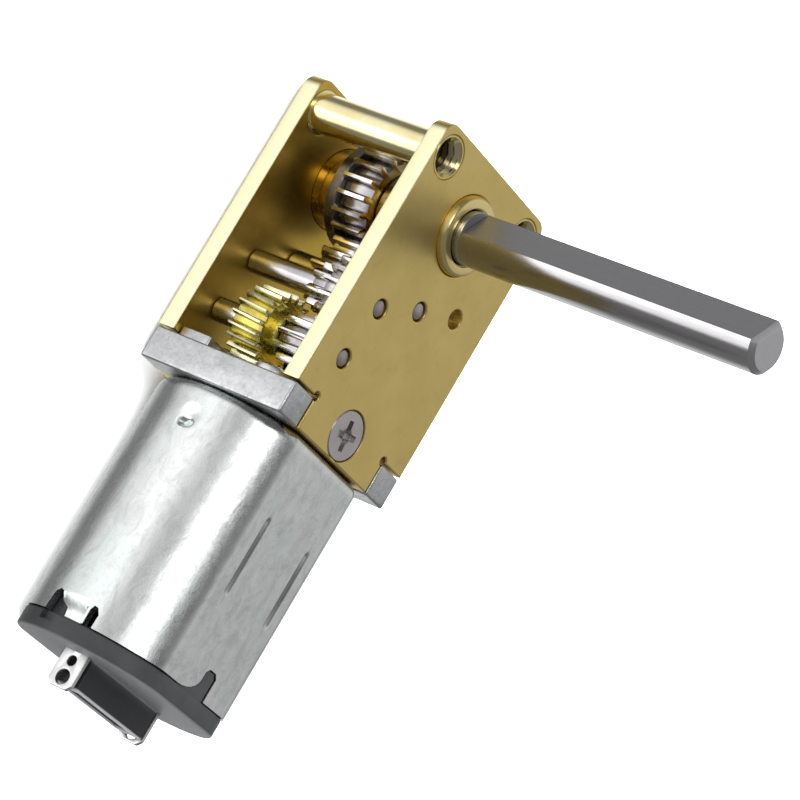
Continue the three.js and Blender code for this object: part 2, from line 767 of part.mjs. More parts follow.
function terminal(side) {
  const x = side * terminalPlace;
  const sheet = 0.13;
  const tab = block(x - sheet, x + sheet, terminalTip, -canLength + 0.9, -0.85, 0.85);
  const eye = (y, radius) => {
    const hole = new THREE.CylinderGeometry(radius, radius, 2, 16);
    hole.rotateZ(Math.PI / 2);
    hole.translate(x, y, 0);
    return toSolid(hole);
  };
  return tab.subtract(eye(-16.8, 0.42)).subtract(eye(-15.85, 0.28));
}

function brush(side) {
  const z0 = side > 0 ? brushHalfGap : -brushHalfGap - brushThickness;
  const strip = block(-brushOffset, 1.6, -12.9, -11.9, z0, z0 + brushThickness);
  const foot = block(-brushOffset, -brushOffset + 0.3, -13, -11.9, Math.min(side * 0.95, side * 1.6),
    Math.max(side * 0.95, side * 1.6));
  return strip.add(foot);
}

function magnet(side) {
  const inner = 4.15;
  const outer = canRadius - canWall - 0.06;
  const half = THREE.MathUtils.degToRad(50);
  const arc = new THREE.Shape();
  arc.absarc(0, 0, outer, -half, half);
  arc.absarc(0, 0, inner, half, -half, true);
  arc.closePath();
  return prismY(arc, -10.8, -2.6).rotate([0, side > 0 ? 0 : 180, 0]);
}

part('motor_can', motorCan(), look.plated());
part('end_cap', endCap(), look.black());
part('motor_bearing_front', ringY(motorShaftRadius + 0.03, bearingRadius, -1.1, 1.2), look.bronze());
part('motor_bearing_rear', ringY(motorShaftRadius + 0.03, rearBearingRadius, shaftRearEnd - 0.07,
  shaftRearEnd + 1.2), look.bronze());
part('magnet_left', magnet(-1), look.magnet());
part('magnet_right', magnet(1), look.magnet());
part('brush_front', brush(1), look.copper());
part('brush_back', brush(-1), look.copper());
part('terminal_left', terminal(-1), look.tin());
part('terminal_right', terminal(1), look.tin());

export default assembly;
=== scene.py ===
"""The looks of a miniature worm gearmotor: brass plates, zinc base, plated motor can and steel gears.

Shapes are made in millimetres about the rotor joint's place: x runs across, y from the motor to
the gearbox and z along the output shaft. make_object() puts them in the frame.
"""

import json
import math

import bmesh
import bpy
from mathutils import Matrix, Vector
from mathutils.geometry import tessellate_polygon


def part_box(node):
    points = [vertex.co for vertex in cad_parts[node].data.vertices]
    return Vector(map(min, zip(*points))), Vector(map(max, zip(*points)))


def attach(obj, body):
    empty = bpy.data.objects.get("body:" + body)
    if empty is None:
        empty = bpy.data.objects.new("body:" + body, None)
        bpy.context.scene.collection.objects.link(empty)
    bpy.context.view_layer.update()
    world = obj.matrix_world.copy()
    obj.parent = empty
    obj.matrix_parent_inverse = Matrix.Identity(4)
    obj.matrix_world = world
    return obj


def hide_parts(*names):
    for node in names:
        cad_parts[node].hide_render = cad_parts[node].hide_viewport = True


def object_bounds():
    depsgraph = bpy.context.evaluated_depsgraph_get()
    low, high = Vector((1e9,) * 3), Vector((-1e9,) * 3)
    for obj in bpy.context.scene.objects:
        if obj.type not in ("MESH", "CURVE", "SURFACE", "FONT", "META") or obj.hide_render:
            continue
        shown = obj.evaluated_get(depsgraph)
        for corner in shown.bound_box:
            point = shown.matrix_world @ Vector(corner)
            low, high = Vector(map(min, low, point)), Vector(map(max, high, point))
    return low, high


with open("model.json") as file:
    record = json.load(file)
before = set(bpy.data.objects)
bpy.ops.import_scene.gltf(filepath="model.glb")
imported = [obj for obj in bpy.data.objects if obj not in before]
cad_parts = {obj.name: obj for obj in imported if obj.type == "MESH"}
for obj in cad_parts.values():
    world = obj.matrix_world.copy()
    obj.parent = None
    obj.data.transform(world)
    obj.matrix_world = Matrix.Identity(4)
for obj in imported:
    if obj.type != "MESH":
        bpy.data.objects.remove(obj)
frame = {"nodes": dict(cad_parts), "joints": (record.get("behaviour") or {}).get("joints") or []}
cad_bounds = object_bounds()

MM = 0.001
JOINTS = {joint["name"]: Vector(joint["pos_m"]) for joint in frame["joints"]}
MOTOR_AXIS = JOINTS["rotor_spin"]


def local(point):
    """A point of the frame, in metres, in the millimetres that the shapes are made in."""
    return (Vector(point) - MOTOR_AXIS) / MM


def axis_place(joint):
    place = local(JOINTS[joint])
    return Vector((place.x, place.y))


def node_box(node):
    low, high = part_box(node)
    return local(low), local(high)


# ---------- driving dimensions, read from the frame ----------

PLATE_LOW, PLATE_HIGH = node_box("front_plate")
CAN_LOW, CAN_HIGH = node_box("motor_can")
CAP_LOW = node_box("end_cap")[0]
SHAFT_LOW, SHAFT_HIGH = node_box("output_shaft")
BUSH_LOW, BUSH_HIGH = node_box("front_bush")

HALF_WIDTH = PLATE_HIGH.x
OUTER = PLATE_HIGH.z
INNER = PLATE_LOW.z
PLATE_TOP = PLATE_HIGH.y
BASE_TOP = 1.85
EAR_WIDTH = 1.95
MOUNT_HEIGHT = local((0, 0, 0)).y
MOUNT_SPACING = 4.6
CAN_RADIUS = -CAN_LOW.x
CAN_FLAT = -CAN_LOW.z
CAN_REAR = CAN_LOW.y
CAN_WALL = 0.5
CAP_RIM_TOP = CAN_REAR - 0.02
CAP_RIM_LOW = CAP_RIM_TOP - 1.12
GROOVES = (-2.04, 2.3)
GROOVE_MIDDLE = -6.8
GROOVE_HALF = 2.1
SHAFT_RADIUS = (SHAFT_HIGH.x - SHAFT_LOW.x) / 2
FLAT_START = OUTER + 0.75
SCREW_BOXES = {name: node_box(name) for name in ("motor_screw_left", "motor_screw_right")}
SCREW_PLACES = [((low.x + high.x) / 2, -(low.z + high.z) / 2) for low, high in SCREW_BOXES.values()]

AXIS_OUT = axis_place("output_spin")
AXIS_C = axis_place("stage_c_spin")
AXIS_B = axis_place("stage_b_spin")
AXIS_A = axis_place("stage_a_spin")


# ---------- solids: a list of points and a list of faces ----------


def circle(centre, radius, count=48, start=0.0):
    turns = [start + 2 * math.pi * index / count for index in range(count)]
    return [(centre[0] + radius * math.cos(t), centre[1] + radius * math.sin(t)) for t in turns]


def arc(centre, radius, start, end, count=8):
    """Points on an arc between two angles in degrees, both ends included."""
    turns = [math.radians(start + (end - start) * index / count) for index in range(count + 1)]
    return [(centre[0] + radius * math.cos(t), centre[1] + radius * math.sin(t)) for t in turns]


def area(points):
    pairs = zip(points, points[1:] + points[:1])
    return sum(a[0] * b[1] - b[0] * a[1] for a, b in pairs) / 2


def inset(points, distance):
    """The outline moved to its own left by a distance, which is inward if it runs anticlockwise."""
    moved = []
    for index, point in enumerate(points):
        here = Vector(point)
        before = (here - Vector(points[index - 1])).normalized()
        after = (Vector(points[(index + 1) % len(points)]) - here).normalized()
        left_before = Vector((-before.y, before.x))
        left_after = Vector((-after.y, after.x))
        mitre = (left_before + left_after) / max(0.3, 1 + left_before.dot(left_after))
        moved.append(tuple(here + mitre * distance))
    return moved


def rounded_profile(low, high, bevel, steps=3):
    """(inset, height) pairs up the side of a plate whose two edges are rounded."""
    rise = []
    for index in range(steps + 1):
        turn = math.pi / 2 * index / steps
        rise.append((bevel * (1 - math.sin(turn)), low + bevel * (1 - math.cos(turn))))
    return rise + [(back, low + high - height) for back, height in reversed(rise)]


def plate(outline, holes, low, high, bevel=0.08, steps=3):
    """A flat solid along z. A hole is a list of points, or (points, its own profile)."""
    loops = []
    for index, loop in enumerate([outline] + list(holes)):
        points, profile = loop if isinstance(loop, tuple) else (loop, None)
        if (area(points) > 0) != (index == 0):
            points = list(reversed(points))
        loops.append((points, profile or rounded_profile(low, high, bevel, steps)))
    points, faces, ends = [], [], ([], [])
    starts = ([], [])
    for outline_points, profile in loops:
        count = len(outline_points)
        first = len(points)
        for back, height in profile:
            points += [(x, y, height) for x, y in inset(outline_points, back)]
        for level in range(len(profile) - 1):
            for index in range(count):
                a = first + level * count + index
                b = first + level * count + (index + 1) % count
                faces.append((a, b, b + count, a + count))
        for side, start in ((0, first), (1, first + (len(profile) - 1) * count)):
            ends[side].append([Vector(points[start + index]) for index in range(count)])
            starts[side].extend(range(start, start + count))
    for side in (0, 1):
        for triangle in tessellate_polygon(ends[side]):
            faces.append(tuple(starts[side][corner] for corner in triangle))
    return points, faces


def loft(rings, closed=False):
    """Skin over rings of equally many points. A closed one joins its last ring to its first."""
    count = len(rings[0])
    points = [point for ring in rings for point in ring]
    faces = []
    for level in range(len(rings) if closed else len(rings) - 1):
        above = (level + 1) % len(rings)
        for index in range(count):
            beside = (index + 1) % count
            faces.append((level * count + index, level * count + beside,
                          above * count + beside, above * count + index))
    if not closed:
        faces.append(tuple(reversed(range(count))))
        faces.append(tuple(range(len(points) - count, len(points))))
    return points, faces


def turned(profile, centre=(0, 0), count=64, closed=False):
    """A round solid along z about a point, from (radius, height) pairs."""
    rings = []
    for radius, height in profile:
        rings.append([(x, y, height) for x, y in circle(centre, max(radius, 1e-4), count)])
    return loft(rings, closed)


def along_y(solid):
    """Turns a solid made along z so that it runs along y. Its plan's second axis becomes -z."""
    points, faces = solid
    return [(x, z, -y) for x, y, z in points], faces


def rectangle(x0, x1, y0, y1, radius=0.0, count=4):
    if radius <= 0:
        return [(x0, y0), (x1, y0), (x1, y1), (x0, y1)]
    corners = [((x1 - radius, y0 + radius), -90), ((x1 - radius, y1 - radius), 0),
               ((x0 + radius, y1 - radius), 90), ((x0 + radius, y0 + radius), 180)]
    return [point for centre, start in corners for point in arc(centre, radius, start, start + 90, count)]


def smoothstep(value, low, high):
    share = min(1.0, max(0.0, (value - low) / (high - low)))
    return share * share * (3 - 2 * share)


# ---------- objects ----------


def make_object(name, solid):
    points, faces = solid
    mesh = bpy.data.meshes.new(name)
    mesh.from_pydata([tuple(Vector(point) * MM + MOTOR_AXIS) for point in points], [], faces)
    form = bmesh.new()
    form.from_mesh(mesh)
    bmesh.ops.remove_doubles(form, verts=form.verts, dist=1e-7)
    bmesh.ops.dissolve_degenerate(form, edges=form.edges, dist=1e-7)
    bmesh.ops.recalc_face_normals(form, faces=form.faces)
    form.to_mesh(mesh)
    form.free()
    thing = bpy.data.objects.new(name, mesh)
    bpy.context.scene.collection.objects.link(thing)
    return thing


def combine(thing, solid, operation="DIFFERENCE"):
    """Cuts a solid out of an object, or joins it on."""
    tool = make_object("tool", solid)
    change = thing.modifiers.new("change", "BOOLEAN")
    change.object = tool
    change.operation = operation
    change.solver = "EXACT"
    graph = bpy.context.evaluated_depsgraph_get()
    result = bpy.data.meshes.new_from_object(thing.evaluated_get(graph))
    thing.modifiers.clear()
    thing.data = result
    bpy.data.objects.remove(tool)


def finish_piece(thing, material, body, slot, node, sharp=30):
    """Gives a skin its material, and has it stand for a node of the frame."""
    thing.data.materials.clear()
    thing.data.materials.append(material)
    thing.data.polygons.foreach_set("use_smooth", [True] * len(thing.data.polygons))
    thing.data.set_sharp_from_angle(angle=math.radians(sharp))
    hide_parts(node)
    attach(thing, body)


def add_piece(node, solid, *looks, sharp=30):
    """A skin made in one go. looks are its material, body and slot; the slot is not used."""
    thing = make_object(node + "_skin", solid)
    finish_piece(thing, *looks, node, sharp)
    return thing


def keep_flat(thing):
    """Shades the faces that lie along the widest face flat, so that only the edges stay smooth."""
    widest = max(thing.data.polygons, key=lambda face: face.area).normal.copy()
    for face in thing.data.polygons:
        if abs(face.normal.dot(widest)) > 0.9999:
            face.use_smooth = False


# ---------- materials ----------


def add_node(tree, kind, inputs=None, **settings):
    """A shader node with its settings, and its inputs set to a value or linked to a socket."""
    node = tree.nodes.new("ShaderNode" + kind)
    for setting, value in settings.items():
        setattr(node, setting, value)
    for key, value in (inputs or {}).items():
        if isinstance(value, bpy.types.NodeSocket):
            tree.links.new(value, node.inputs[key])
        else:
            node.inputs[key].default_value = value
    return node


class Surface:
    """A node material about a metallic or dull base, with grain worked out in the object's own space."""

    def __init__(self, name, metallic):
        self.material = bpy.data.materials.new(name)
        self.material.use_nodes = True
        self.tree = self.material.node_tree
        self.tree.nodes.clear()
        self.shader = self.add("BsdfPrincipled", {"Metallic": metallic})
        self.add("OutputMaterial", {"Surface": self.shader.outputs["BSDF"]})
        self.place = self.add("TexCoord").outputs["Object"]
        self.height = None

    def add(self, kind, inputs=None, **settings):
        return add_node(self.tree, kind, inputs, **settings)

    def scaled(self, stretch=(1, 1, 1)):
        """The place in millimetres, stretched along each axis."""
        scale = [share / MM for share in stretch]
        return self.add("Mapping", {"Vector": self.place, "Scale": scale}).outputs["Vector"]

    def noise(self, scale, stretch=(1, 1, 1), detail=3.0, roughness=0.55, distortion=0.0):
        return self.add("TexNoise", {
            "Vector": self.scaled(stretch), "Scale": scale, "Detail": detail,
            "Roughness": roughness, "Distortion": distortion}).outputs["Fac"]

    def cells(self, scale):
        return self.add("TexVoronoi", {"Vector": self.scaled(), "Scale": scale}).outputs["Distance"]

    def distance(self, centre, axes, mirrored=False):
        """Millimetres from a place, along the axes marked 1 only. mirrored folds the two sides together."""
        source = self.place
        if mirrored:
            source = self.add("VectorMath", {0: source}, operation="ABSOLUTE").outputs["Vector"]
        here = Vector(centre) + MOTOR_AXIS / MM
        away = self.add("Mapping", {
            "Vector": source, "Location": [-value * axis for value, axis in zip(here, axes)],
            "Scale": [axis / MM for axis in axes]}).outputs["Vector"]
        return self.add("VectorMath", {0: away}, operation="LENGTH").outputs["Value"]

    def from_axis(self, centre, mirrored=False):
        return self.distance((*centre, 0), (1, 1, 0), mirrored)

    def from_level(self, height):
        return self.distance((0, 0, height), (0, 0, 1))

    def spread(self, source, low, high, from_low=0.3, from_high=0.7):
        return self.add("MapRange", {
            "Value": source, "From Min": from_low, "From Max": from_high,
            "To Min": low, "To Max": high}).outputs["Result"]

    def both(self, first, second):
        """A mask that is the product of two."""
        return self.add("Math", {0: first, 1: second}, operation="MULTIPLY").outputs["Value"]

    def mix(self, share, first, second, kind="MIX"):
        inputs = {}
        for key, value in ((0, share), (6, first), (7, second)):
            single = isinstance(value, (bpy.types.NodeSocket, int, float))
            inputs[key] = value if single else (*value, 1)
        return self.add("Mix", inputs, data_type="RGBA", blend_type=kind).outputs[2]

    def over(self, tone, colour, *mask):
        """Lays a colour over a tone, through a mask that spread() makes."""
        return self.mix(self.spread(*mask), tone, colour)

    def paint(self, source):
        self.tree.links.new(source, self.shader.inputs["Base Color"])

    def gloss(self, source):
        self.tree.links.new(source, self.shader.inputs["Roughness"])

    def bump(self, source, depth, strength=1.0):
        """Adds relief whose depth is in millimetres."""
        inputs = {"Height": source, "Strength": strength, "Distance": depth * MM}
        if self.height is not None:
            inputs["Normal"] = self.height
        self.height = self.add("Bump", inputs).outputs["Normal"]
        self.tree.links.new(self.height, self.shader.inputs["Normal"])


def brass_material(name, light, deep, gloss, grain=(1, 1, 1), shades=()):
    """Brass with stains. Each shade is a mask made from the surface, a colour, and how they mix."""
    surface = Surface(name, 1.0)
    patches = surface.noise(0.35, detail=4)
    fine = surface.noise(9.0, grain, detail=5, roughness=0.7)
    stain = surface.noise(1.3, detail=6, roughness=0.65, distortion=0.6)
    tone = surface.over(deep, light, patches, 0, 1)
    tone = surface.over(tone, [share * 0.72 for share in deep], stain, 0.0, 0.35, 0.55, 0.8)
    tone = surface.over(tone, (1.0, 0.93, 0.62), fine, 0.0, 0.10)
    for mask, colour, kind in shades:
        tone = surface.mix(mask(surface), tone, colour, kind)
    surface.paint(tone)
    surface.gloss(surface.spread(fine, *gloss))
    surface.bump(fine, 0.004, 0.5)
    surface.bump(stain, 0.012, 0.25)
    return surface.material


def steel_material(name, light, dark, gloss, grain=(1, 1, 1), fine_scale=12.0, depth=0.003):
    surface = Surface(name, 1.0)
    patches = surface.noise(0.5, detail=4)
    fine = surface.noise(fine_scale, grain, detail=5, roughness=0.7)
    tone = surface.over(dark, light, patches, 0, 1)
    surface.paint(surface.over(tone, [share * 0.8 for share in dark], fine, 0.0, 0.25))
    surface.gloss(surface.spread(fine, *gloss))
    surface.bump(fine, depth, 0.5)
    return surface.material


def shaft_material():
    """Ground steel, whose milled flat and end face are duller than the round part."""
    surface = Surface("shaft_steel", 1.0)
    patches = surface.noise(0.5, (1, 1, 0.4), detail=4)
    fine = surface.noise(12.0, (1, 1, 0.08), detail=5, roughness=0.7)
    cut = surface.spread(surface.from_axis(AXIS_OUT), 1, 0, SHAFT_RADIUS - 0.04, SHAFT_RADIUS - 0.01)
    tone = surface.over((0.55, 0.54, 0.55), (0.61, 0.60, 0.61), patches, 0, 1)
    tone = surface.mix(cut, tone, (0.59, 0.58, 0.60))
    # Painted shade: a dark band on the flat just past the step where it starts.
    step = surface.spread(surface.from_level(FLAT_START), 0.8, 0, 0.07, 0.14)
    tone = surface.mix(surface.both(cut, step), tone, (0.13, 0.125, 0.125))
    surface.paint(surface.over(tone, (0.42, 0.41, 0.42), fine, 0.0, 0.3))
    added_dullness = 0.20
    polish = surface.spread(fine, 0.13, 0.24)
    dull = surface.add("Math", {0: cut, 1: added_dullness, 2: polish}, operation="MULTIPLY_ADD")
    surface.gloss(dull.outputs["Value"])
    surface.bump(fine, 0.003, 0.5)
    return surface.material


def tooth_material(name, metal, centre, root, tip, gloss, root_shade):
    """Cut teeth: bright crests, with painted shade darkening the metal towards the roots."""
    surface = Surface(name, 1.0)
    shade_mottle = surface.noise(1.6, detail=5, roughness=0.65)
    fine = surface.noise(12.0, (1, 1, 0.25), detail=5, roughness=0.7)
    height = surface.spread(surface.from_axis(centre), 0.0, 1.0, root + 0.15 * (tip - root), tip - 0.12)
    # The root colour is painted shade in the tooth spaces, mottled by noise; the crests keep the metal's
    # colour.
    base = surface.mix(surface.spread(shade_mottle, 0.0, 1.0), root_shade, [share * 1.7 for share in root_shade])
    surface.paint(surface.mix(height, base, metal))
    surface.gloss(surface.spread(fine, *gloss))
    surface.bump(fine, 0.003, 0.5)
    return surface.material


def zinc_material():
    surface = Surface("zinc_casting", 1.0)
    patches = surface.noise(0.75, detail=6, roughness=0.6, distortion=0.5)
    cast = surface.noise(4.2, detail=6, roughness=0.75)
    pits = surface.cells(3.2)
    tone = surface.over((0.46, 0.47, 0.48), (0.69, 0.70, 0.70), patches, 0, 1)
    tone = surface.over(tone, (0.33, 0.34, 0.35), cast, 0.0, 0.55, 0.45, 0.75)
    surface.paint(surface.over(tone, (0.25, 0.25, 0.26), pits, 0.35, 0.0, 0.05, 0.22))
    surface.gloss(surface.spread(cast, 0.22, 0.42))
    surface.bump(cast, 0.018, 0.6)
    surface.bump(patches, 0.05, 0.3)
    return surface.material


def can_material():
    surface = Surface("plated_can", 1.0)
    streaks = surface.noise(1.1, (1, 0.16, 1), detail=6, roughness=0.62, distortion=0.25)
    spangle = surface.noise(2.4, (1, 0.7, 1), detail=8, roughness=0.78, distortion=0.8)
    tint = surface.noise(0.45, (1, 0.35, 1), detail=3)
    fine = surface.noise(14.0, (1, 0.3, 1), detail=4, roughness=0.7)
    blotch = surface.noise(1.0, (1, 0.55, 1), detail=5, roughness=0.6, distortion=1.2)
    tone = surface.over((0.68, 0.69, 0.685), (0.86, 0.87, 0.86), streaks, 0, 1)
    tone = surface.over(tone, (0.70, 0.785, 0.765), tint, 0.0, 0.6, 0.42, 0.62)
    tone = surface.over(tone, (0.60, 0.61, 0.61), blotch, 0.0, 0.75, 0.48, 0.66)
    tone = surface.over(tone, (0.56, 0.575, 0.575), spangle, 0.0, 0.6, 0.5, 0.74)
    # Painted shade darkens the pressed grooves on both flats.
    for side in (-1, 1):
        for place in GROOVES:
            middle = (place * side, GROOVE_MIDDLE, CAN_FLAT * side)
            away = surface.distance(middle, (1, 0.2 / (GROOVE_HALF + 0.3), 0.05))
            tone = surface.over(tone, (0.20, 0.205, 0.205), away, 0.85, 0.0, 0.10, 0.25)
    surface.paint(tone)
    surface.gloss(surface.spread(spangle, 0.14, 0.36))
    surface.bump(spangle, 0.008, 0.5)
    surface.bump(blotch, 0.016, 0.5)
    surface.bump(streaks, 0.010, 0.4)
    surface.bump(fine, 0.002, 0.4)
    return surface.material


def plastic_material():
    surface = Surface("moulded_plastic", 0.0)
    fine = surface.noise(11.0, detail=5, roughness=0.7)
    patches = surface.noise(0.7, detail=4)
    tone = surface.over((0.009, 0.0094, 0.010), (0.014, 0.0145, 0.015), patches, 0, 1)
    tone = surface.over(tone, (0.022, 0.023, 0.024), fine, 0, 0.4)
    # Painted light: the boss is darkened as painted shade, and the flat rear faces of the rim and of the
    # boss are painted paler grey as a sheen.
    to_boss = surface.distance((0, CAP_LOW.y, 0), (0, 1, 0))
    tone = surface.over(tone, (0.003, 0.003, 0.0035), to_boss, 0.6, 0, 1.3, 1.6)
    to_rim = surface.distance((0, CAP_RIM_LOW, 0), (0, 1, 0))
    tone = surface.over(tone, (0.07, 0.072, 0.075), to_rim, 0.8, 0, 0.03, 0.12)
    surface.paint(surface.over(tone, (0.16, 0.16, 0.165), to_boss, 0.9, 0, 0.05, 0.13))
    surface.shader.inputs["Specular IOR Level"].default_value = 0.4
    surface.gloss(surface.spread(fine, 0.38, 0.55))
    surface.bump(fine, 0.006, 0.5)
    return surface.material


def coil_material():
    surface = Surface("enamelled_wire", 1.0)
    around = surface.scaled((0.2, 0.2, 1))
    wires = surface.add("TexWave", {"Vector": around, "Scale": 4.0, "Distortion": 0.4}).outputs["Fac"]
    surface.paint(surface.mix(wires, (0.28, 0.09, 0.035), (0.62, 0.25, 0.11)))
    surface.gloss(surface.spread(wires, 0.42, 0.25, 0, 1))
    surface.bump(wires, 0.05, 0.8)
    return surface.material


MIDDLE = (PLATE_HIGH.z + node_box("back_plate")[0].z) / 2


def inner_shade(surface):
    """Painted shade on the faces of the two plates that look at each other, and on anything between them."""
    return surface.spread(surface.from_level(MIDDLE), 1, 0, INNER, INNER + 0.12)


def rim(surface):
    """The long side edges of the plates, painted paler as a highlight that is partly the bright cut metal.
    """
    return surface.spread(surface.distance((0, 0, 0), (1, 0, 0)), 0, 1, HALF_WIDTH - 0.1, HALF_WIDTH - 0.02)


def bore(surface):
    """Painted shade inside the threaded bores, growing with depth."""
    within = surface.spread(surface.from_axis((MOUNT_SPACING, MOUNT_HEIGHT), True), 1, 0, 1.02, 1.08)
    depth = surface.spread(surface.from_level(MIDDLE), 1, 0.25, OUTER - 1.0, OUTER - 0.3)
    return surface.both(within, depth)


def ends(surface):
    """The two end faces of the threaded posts, darkened as painted shade."""
    return surface.spread(surface.from_level(MIDDLE), 0, 1, OUTER - 0.12, OUTER - 0.05)


TURNED_GRAIN = (1, 1, 0.2)
# Painted shade darkens the plates' inner faces; a painted highlight, partly the paler cut metal, lightens
# their side edges.
BRASS = brass_material(
    "rolled_brass", (0.79, 0.61, 0.21), (0.71, 0.53, 0.165), (0.30, 0.46),
    shades=[(inner_shade, (0.92, 0.82, 0.42), "MULTIPLY"), (rim, (1.0, 0.97, 0.62), "MIX")])
# Painted shade darkens the turned parts inside the gearbox.
TURNED_BRASS = brass_material(
    "turned_brass", (0.86, 0.72, 0.33), (0.74, 0.58, 0.22), (0.16, 0.28), TURNED_GRAIN,
    [(inner_shade, (0.72, 0.60, 0.32), "MULTIPLY")])
# Painted shade darkens the posts' end faces and the deep parts of their bores.
POST_BRASS = brass_material(
    "post_brass", (0.95, 0.88, 0.55), (0.86, 0.74, 0.38), (0.12, 0.22), TURNED_GRAIN,
    [(ends, (0.78, 0.72, 0.52), "MULTIPLY"), (bore, (0.10, 0.08, 0.05), "MULTIPLY")])
MOTOR_SHAFT_STEEL = steel_material("ground_steel", (0.56, 0.55, 0.565), (0.50, 0.49, 0.505), (0.10, 0.20))
GEAR_STEEL = steel_material(
    "hobbed_steel", (0.66, 0.65, 0.66), (0.40, 0.385, 0.39), (0.16, 0.30), (1, 1, 0.25))
FLANGE_STEEL = steel_material("flange_steel", (0.26, 0.24, 0.22), (0.13, 0.115, 0.10), (0.25, 0.40))
AXLE_STEEL = steel_material(
    "axle_steel", (0.50, 0.46, 0.45), (0.38, 0.34, 0.33), (0.26, 0.42), depth=0.006)
SCREW_STEEL = steel_material(
    "screw_steel", (0.62, 0.585, 0.58), (0.50, 0.47, 0.465), (0.26, 0.42), depth=0.006)
TIN = steel_material(
    "tinned_sheet", (0.86, 0.86, 0.85), (0.66, 0.66, 0.66), (0.22, 0.40), (1, 0.4, 1), 6.0, 0.012)
ZINC = zinc_material()
CAN = can_material()
PLASTIC = plastic_material()
COIL = coil_material()
BRONZE = brass_material("sintered_bronze", (0.46, 0.32, 0.16), (0.32, 0.21, 0.10), (0.45, 0.6))
MAGNET = steel_material(
    "sintered_magnet", (0.10, 0.10, 0.11), (0.05, 0.05, 0.055), (0.5, 0.7), depth=0.01)
LAMINATED = steel_material(
    "laminated_iron", (0.42, 0.42, 0.44), (0.22, 0.22, 0.24), (0.3, 0.45), (0.05, 1, 0.05))


# ---------- side plates, standoffs, bushes, screws ----------

AXLE_HOLE = 0.55
SCREW_HEIGHT = 1.57
SCREW_HEAD = 1.42
BUSH_RADIUS = (BUSH_HIGH.x - BUSH_LOW.x) / 2
SPIGOT_RADIUS = 1.24
SPARE_AXLE = (-AXIS_B.x, 10.47)


def plate_outline():
    shoulder = BASE_TOP + 0.13
    tongue = HALF_WIDTH - EAR_WIDTH - 0.13
    foot, relief, corner = 0.05, 0.26, 0.9
    top_corner = PLATE_TOP - corner
    points = [(-HALF_WIDTH, shoulder), (-tongue - relief, shoulder)]
    points += arc((-tongue, shoulder), relief, 180, -90, 10)[1:]
    points += [(-tongue, foot), (tongue, foot)]
    points += arc((tongue, shoulder), relief, 270, 0, 10)
    points += [(HALF_WIDTH, shoulder)]
    points += arc((HALF_WIDTH - corner, top_corner), corner, 0, 90, 10)
    points += arc((-HALF_WIDTH + corner, top_corner), corner, 90, 180, 10)
    return points


def facing(profile, side):
    """A profile made for the front plate, or its mirror image for the back one."""
    return [(radius, side * height) for radius, height in profile]


def side_plate(name, side, body_axles):
    low, high = sorted((side * INNER, side * OUTER))
    snug = rounded_profile(low, high, 0.03, 2)
    holes = [circle(axis, AXLE_HOLE, 32) for axis in body_axles]
    holes.append(circle(AXIS_OUT, BUSH_RADIUS + 0.02, 72))
    for hand in (-1, 1):
        holes.append((circle((hand * MOUNT_SPACING, MOUNT_HEIGHT), SPIGOT_RADIUS + 0.01, 56), snug))
    shank, lip = 0.9, 0.06
    head = SCREW_HEAD + 0.04 - shank
    sink = [(lip, INNER), (0, INNER + lip), (0, OUTER - 0.76), (head, OUTER - 0.14),
            (head, OUTER - 0.04), (head + 0.04, OUTER)]
    holes.append((circle((0, SCREW_HEIGHT), shank, 48), facing(sink[::side], side)))
    solid = plate(plate_outline(), holes, low, high, 0.09, 4)
    keep_flat(add_piece(name, solid, BRASS, "housing", "brass", sharp=28))


def standoff(name, hand):
    """A threaded brass post between the plates. Its bore carries a real helical thread."""
    face = OUTER - 0.02
    edge, barrel = 0.06, 1.1
    wide = [(SPIGOT_RADIUS - edge, -face), (SPIGOT_RADIUS, -face + edge), (SPIGOT_RADIUS, -INNER + 0.01),
            (barrel, -INNER + 0.02), (barrel, INNER - 0.02), (SPIGOT_RADIUS, INNER - 0.01),
            (SPIGOT_RADIUS, face - edge), (SPIGOT_RADIUS - edge, face)]
    count = 64
    centre = (hand * MOUNT_SPACING, MOUNT_HEIGHT)
    rings = [[(x, y, z) for x, y in circle(centre, radius, count)] for radius, z in wide]
    pitch, crest, root, mouth = 0.4, 0.8, 1.0, 1.1
    levels = 220
    for level in range(levels + 1):
        z = face - 2 * face * level / levels
        depth = face - abs(z)
        ring = []
        for index in range(count):
            turn = 2 * math.pi * index / count
            phase = (z / pitch - turn / (2 * math.pi)) % 1.0
            thread = crest + (root - crest) * abs(2 * phase - 1)
            radius = max(thread, mouth - depth * 0.9)
            ring.append((centre[0] + radius * math.cos(turn), centre[1] + radius * math.sin(turn), z))
        rings.append(ring)
    add_piece(name, loft(rings, closed=True), POST_BRASS, "housing", "brass", sharp=24)


def bush(name, side):
    bore = SHAFT_RADIUS + 0.05
    face, seat, body = BUSH_HIGH.z, BUSH_RADIUS, 1.95
    profile = [(bore + 0.12, INNER - 0.9), (body - 0.1, INNER - 0.9), (body, INNER - 0.8),
               (body, INNER), (seat, INNER), (seat, OUTER)]
    for index in range(1, 6):
        turn = math.radians(18 * index)
        round_over = 0.23 * (1 - math.cos(turn))
        profile.append((seat - round_over - 0.02, OUTER + (face - OUTER) * math.sin(turn)))
    profile += [(bore + 0.1, face), (bore, face - 0.1), (bore, INNER - 0.8)]
    profile = facing(profile, side)
    add_piece(name, turned(profile, AXIS_OUT, 96, closed=True), TURNED_BRASS, "housing", "brass")


def cross_outline(reach, half):
    """A cross with four arms, softened where they meet."""
    points, soft = [], half * 1.25
    x, y = 1, 0
    for _ in range(4):
        points += [(x * reach + y * half, y * reach - x * half),
                   (x * reach - y * half, y * reach + x * half),
                   ((x - y) * soft, (x + y) * soft)]
        x, y = -y, x
    return points


def turn_plan(points, degrees, centre):
    turn = Matrix.Rotation(math.radians(degrees), 2)
    return [tuple(Vector(centre) + turn @ Vector(point)) for point in points]


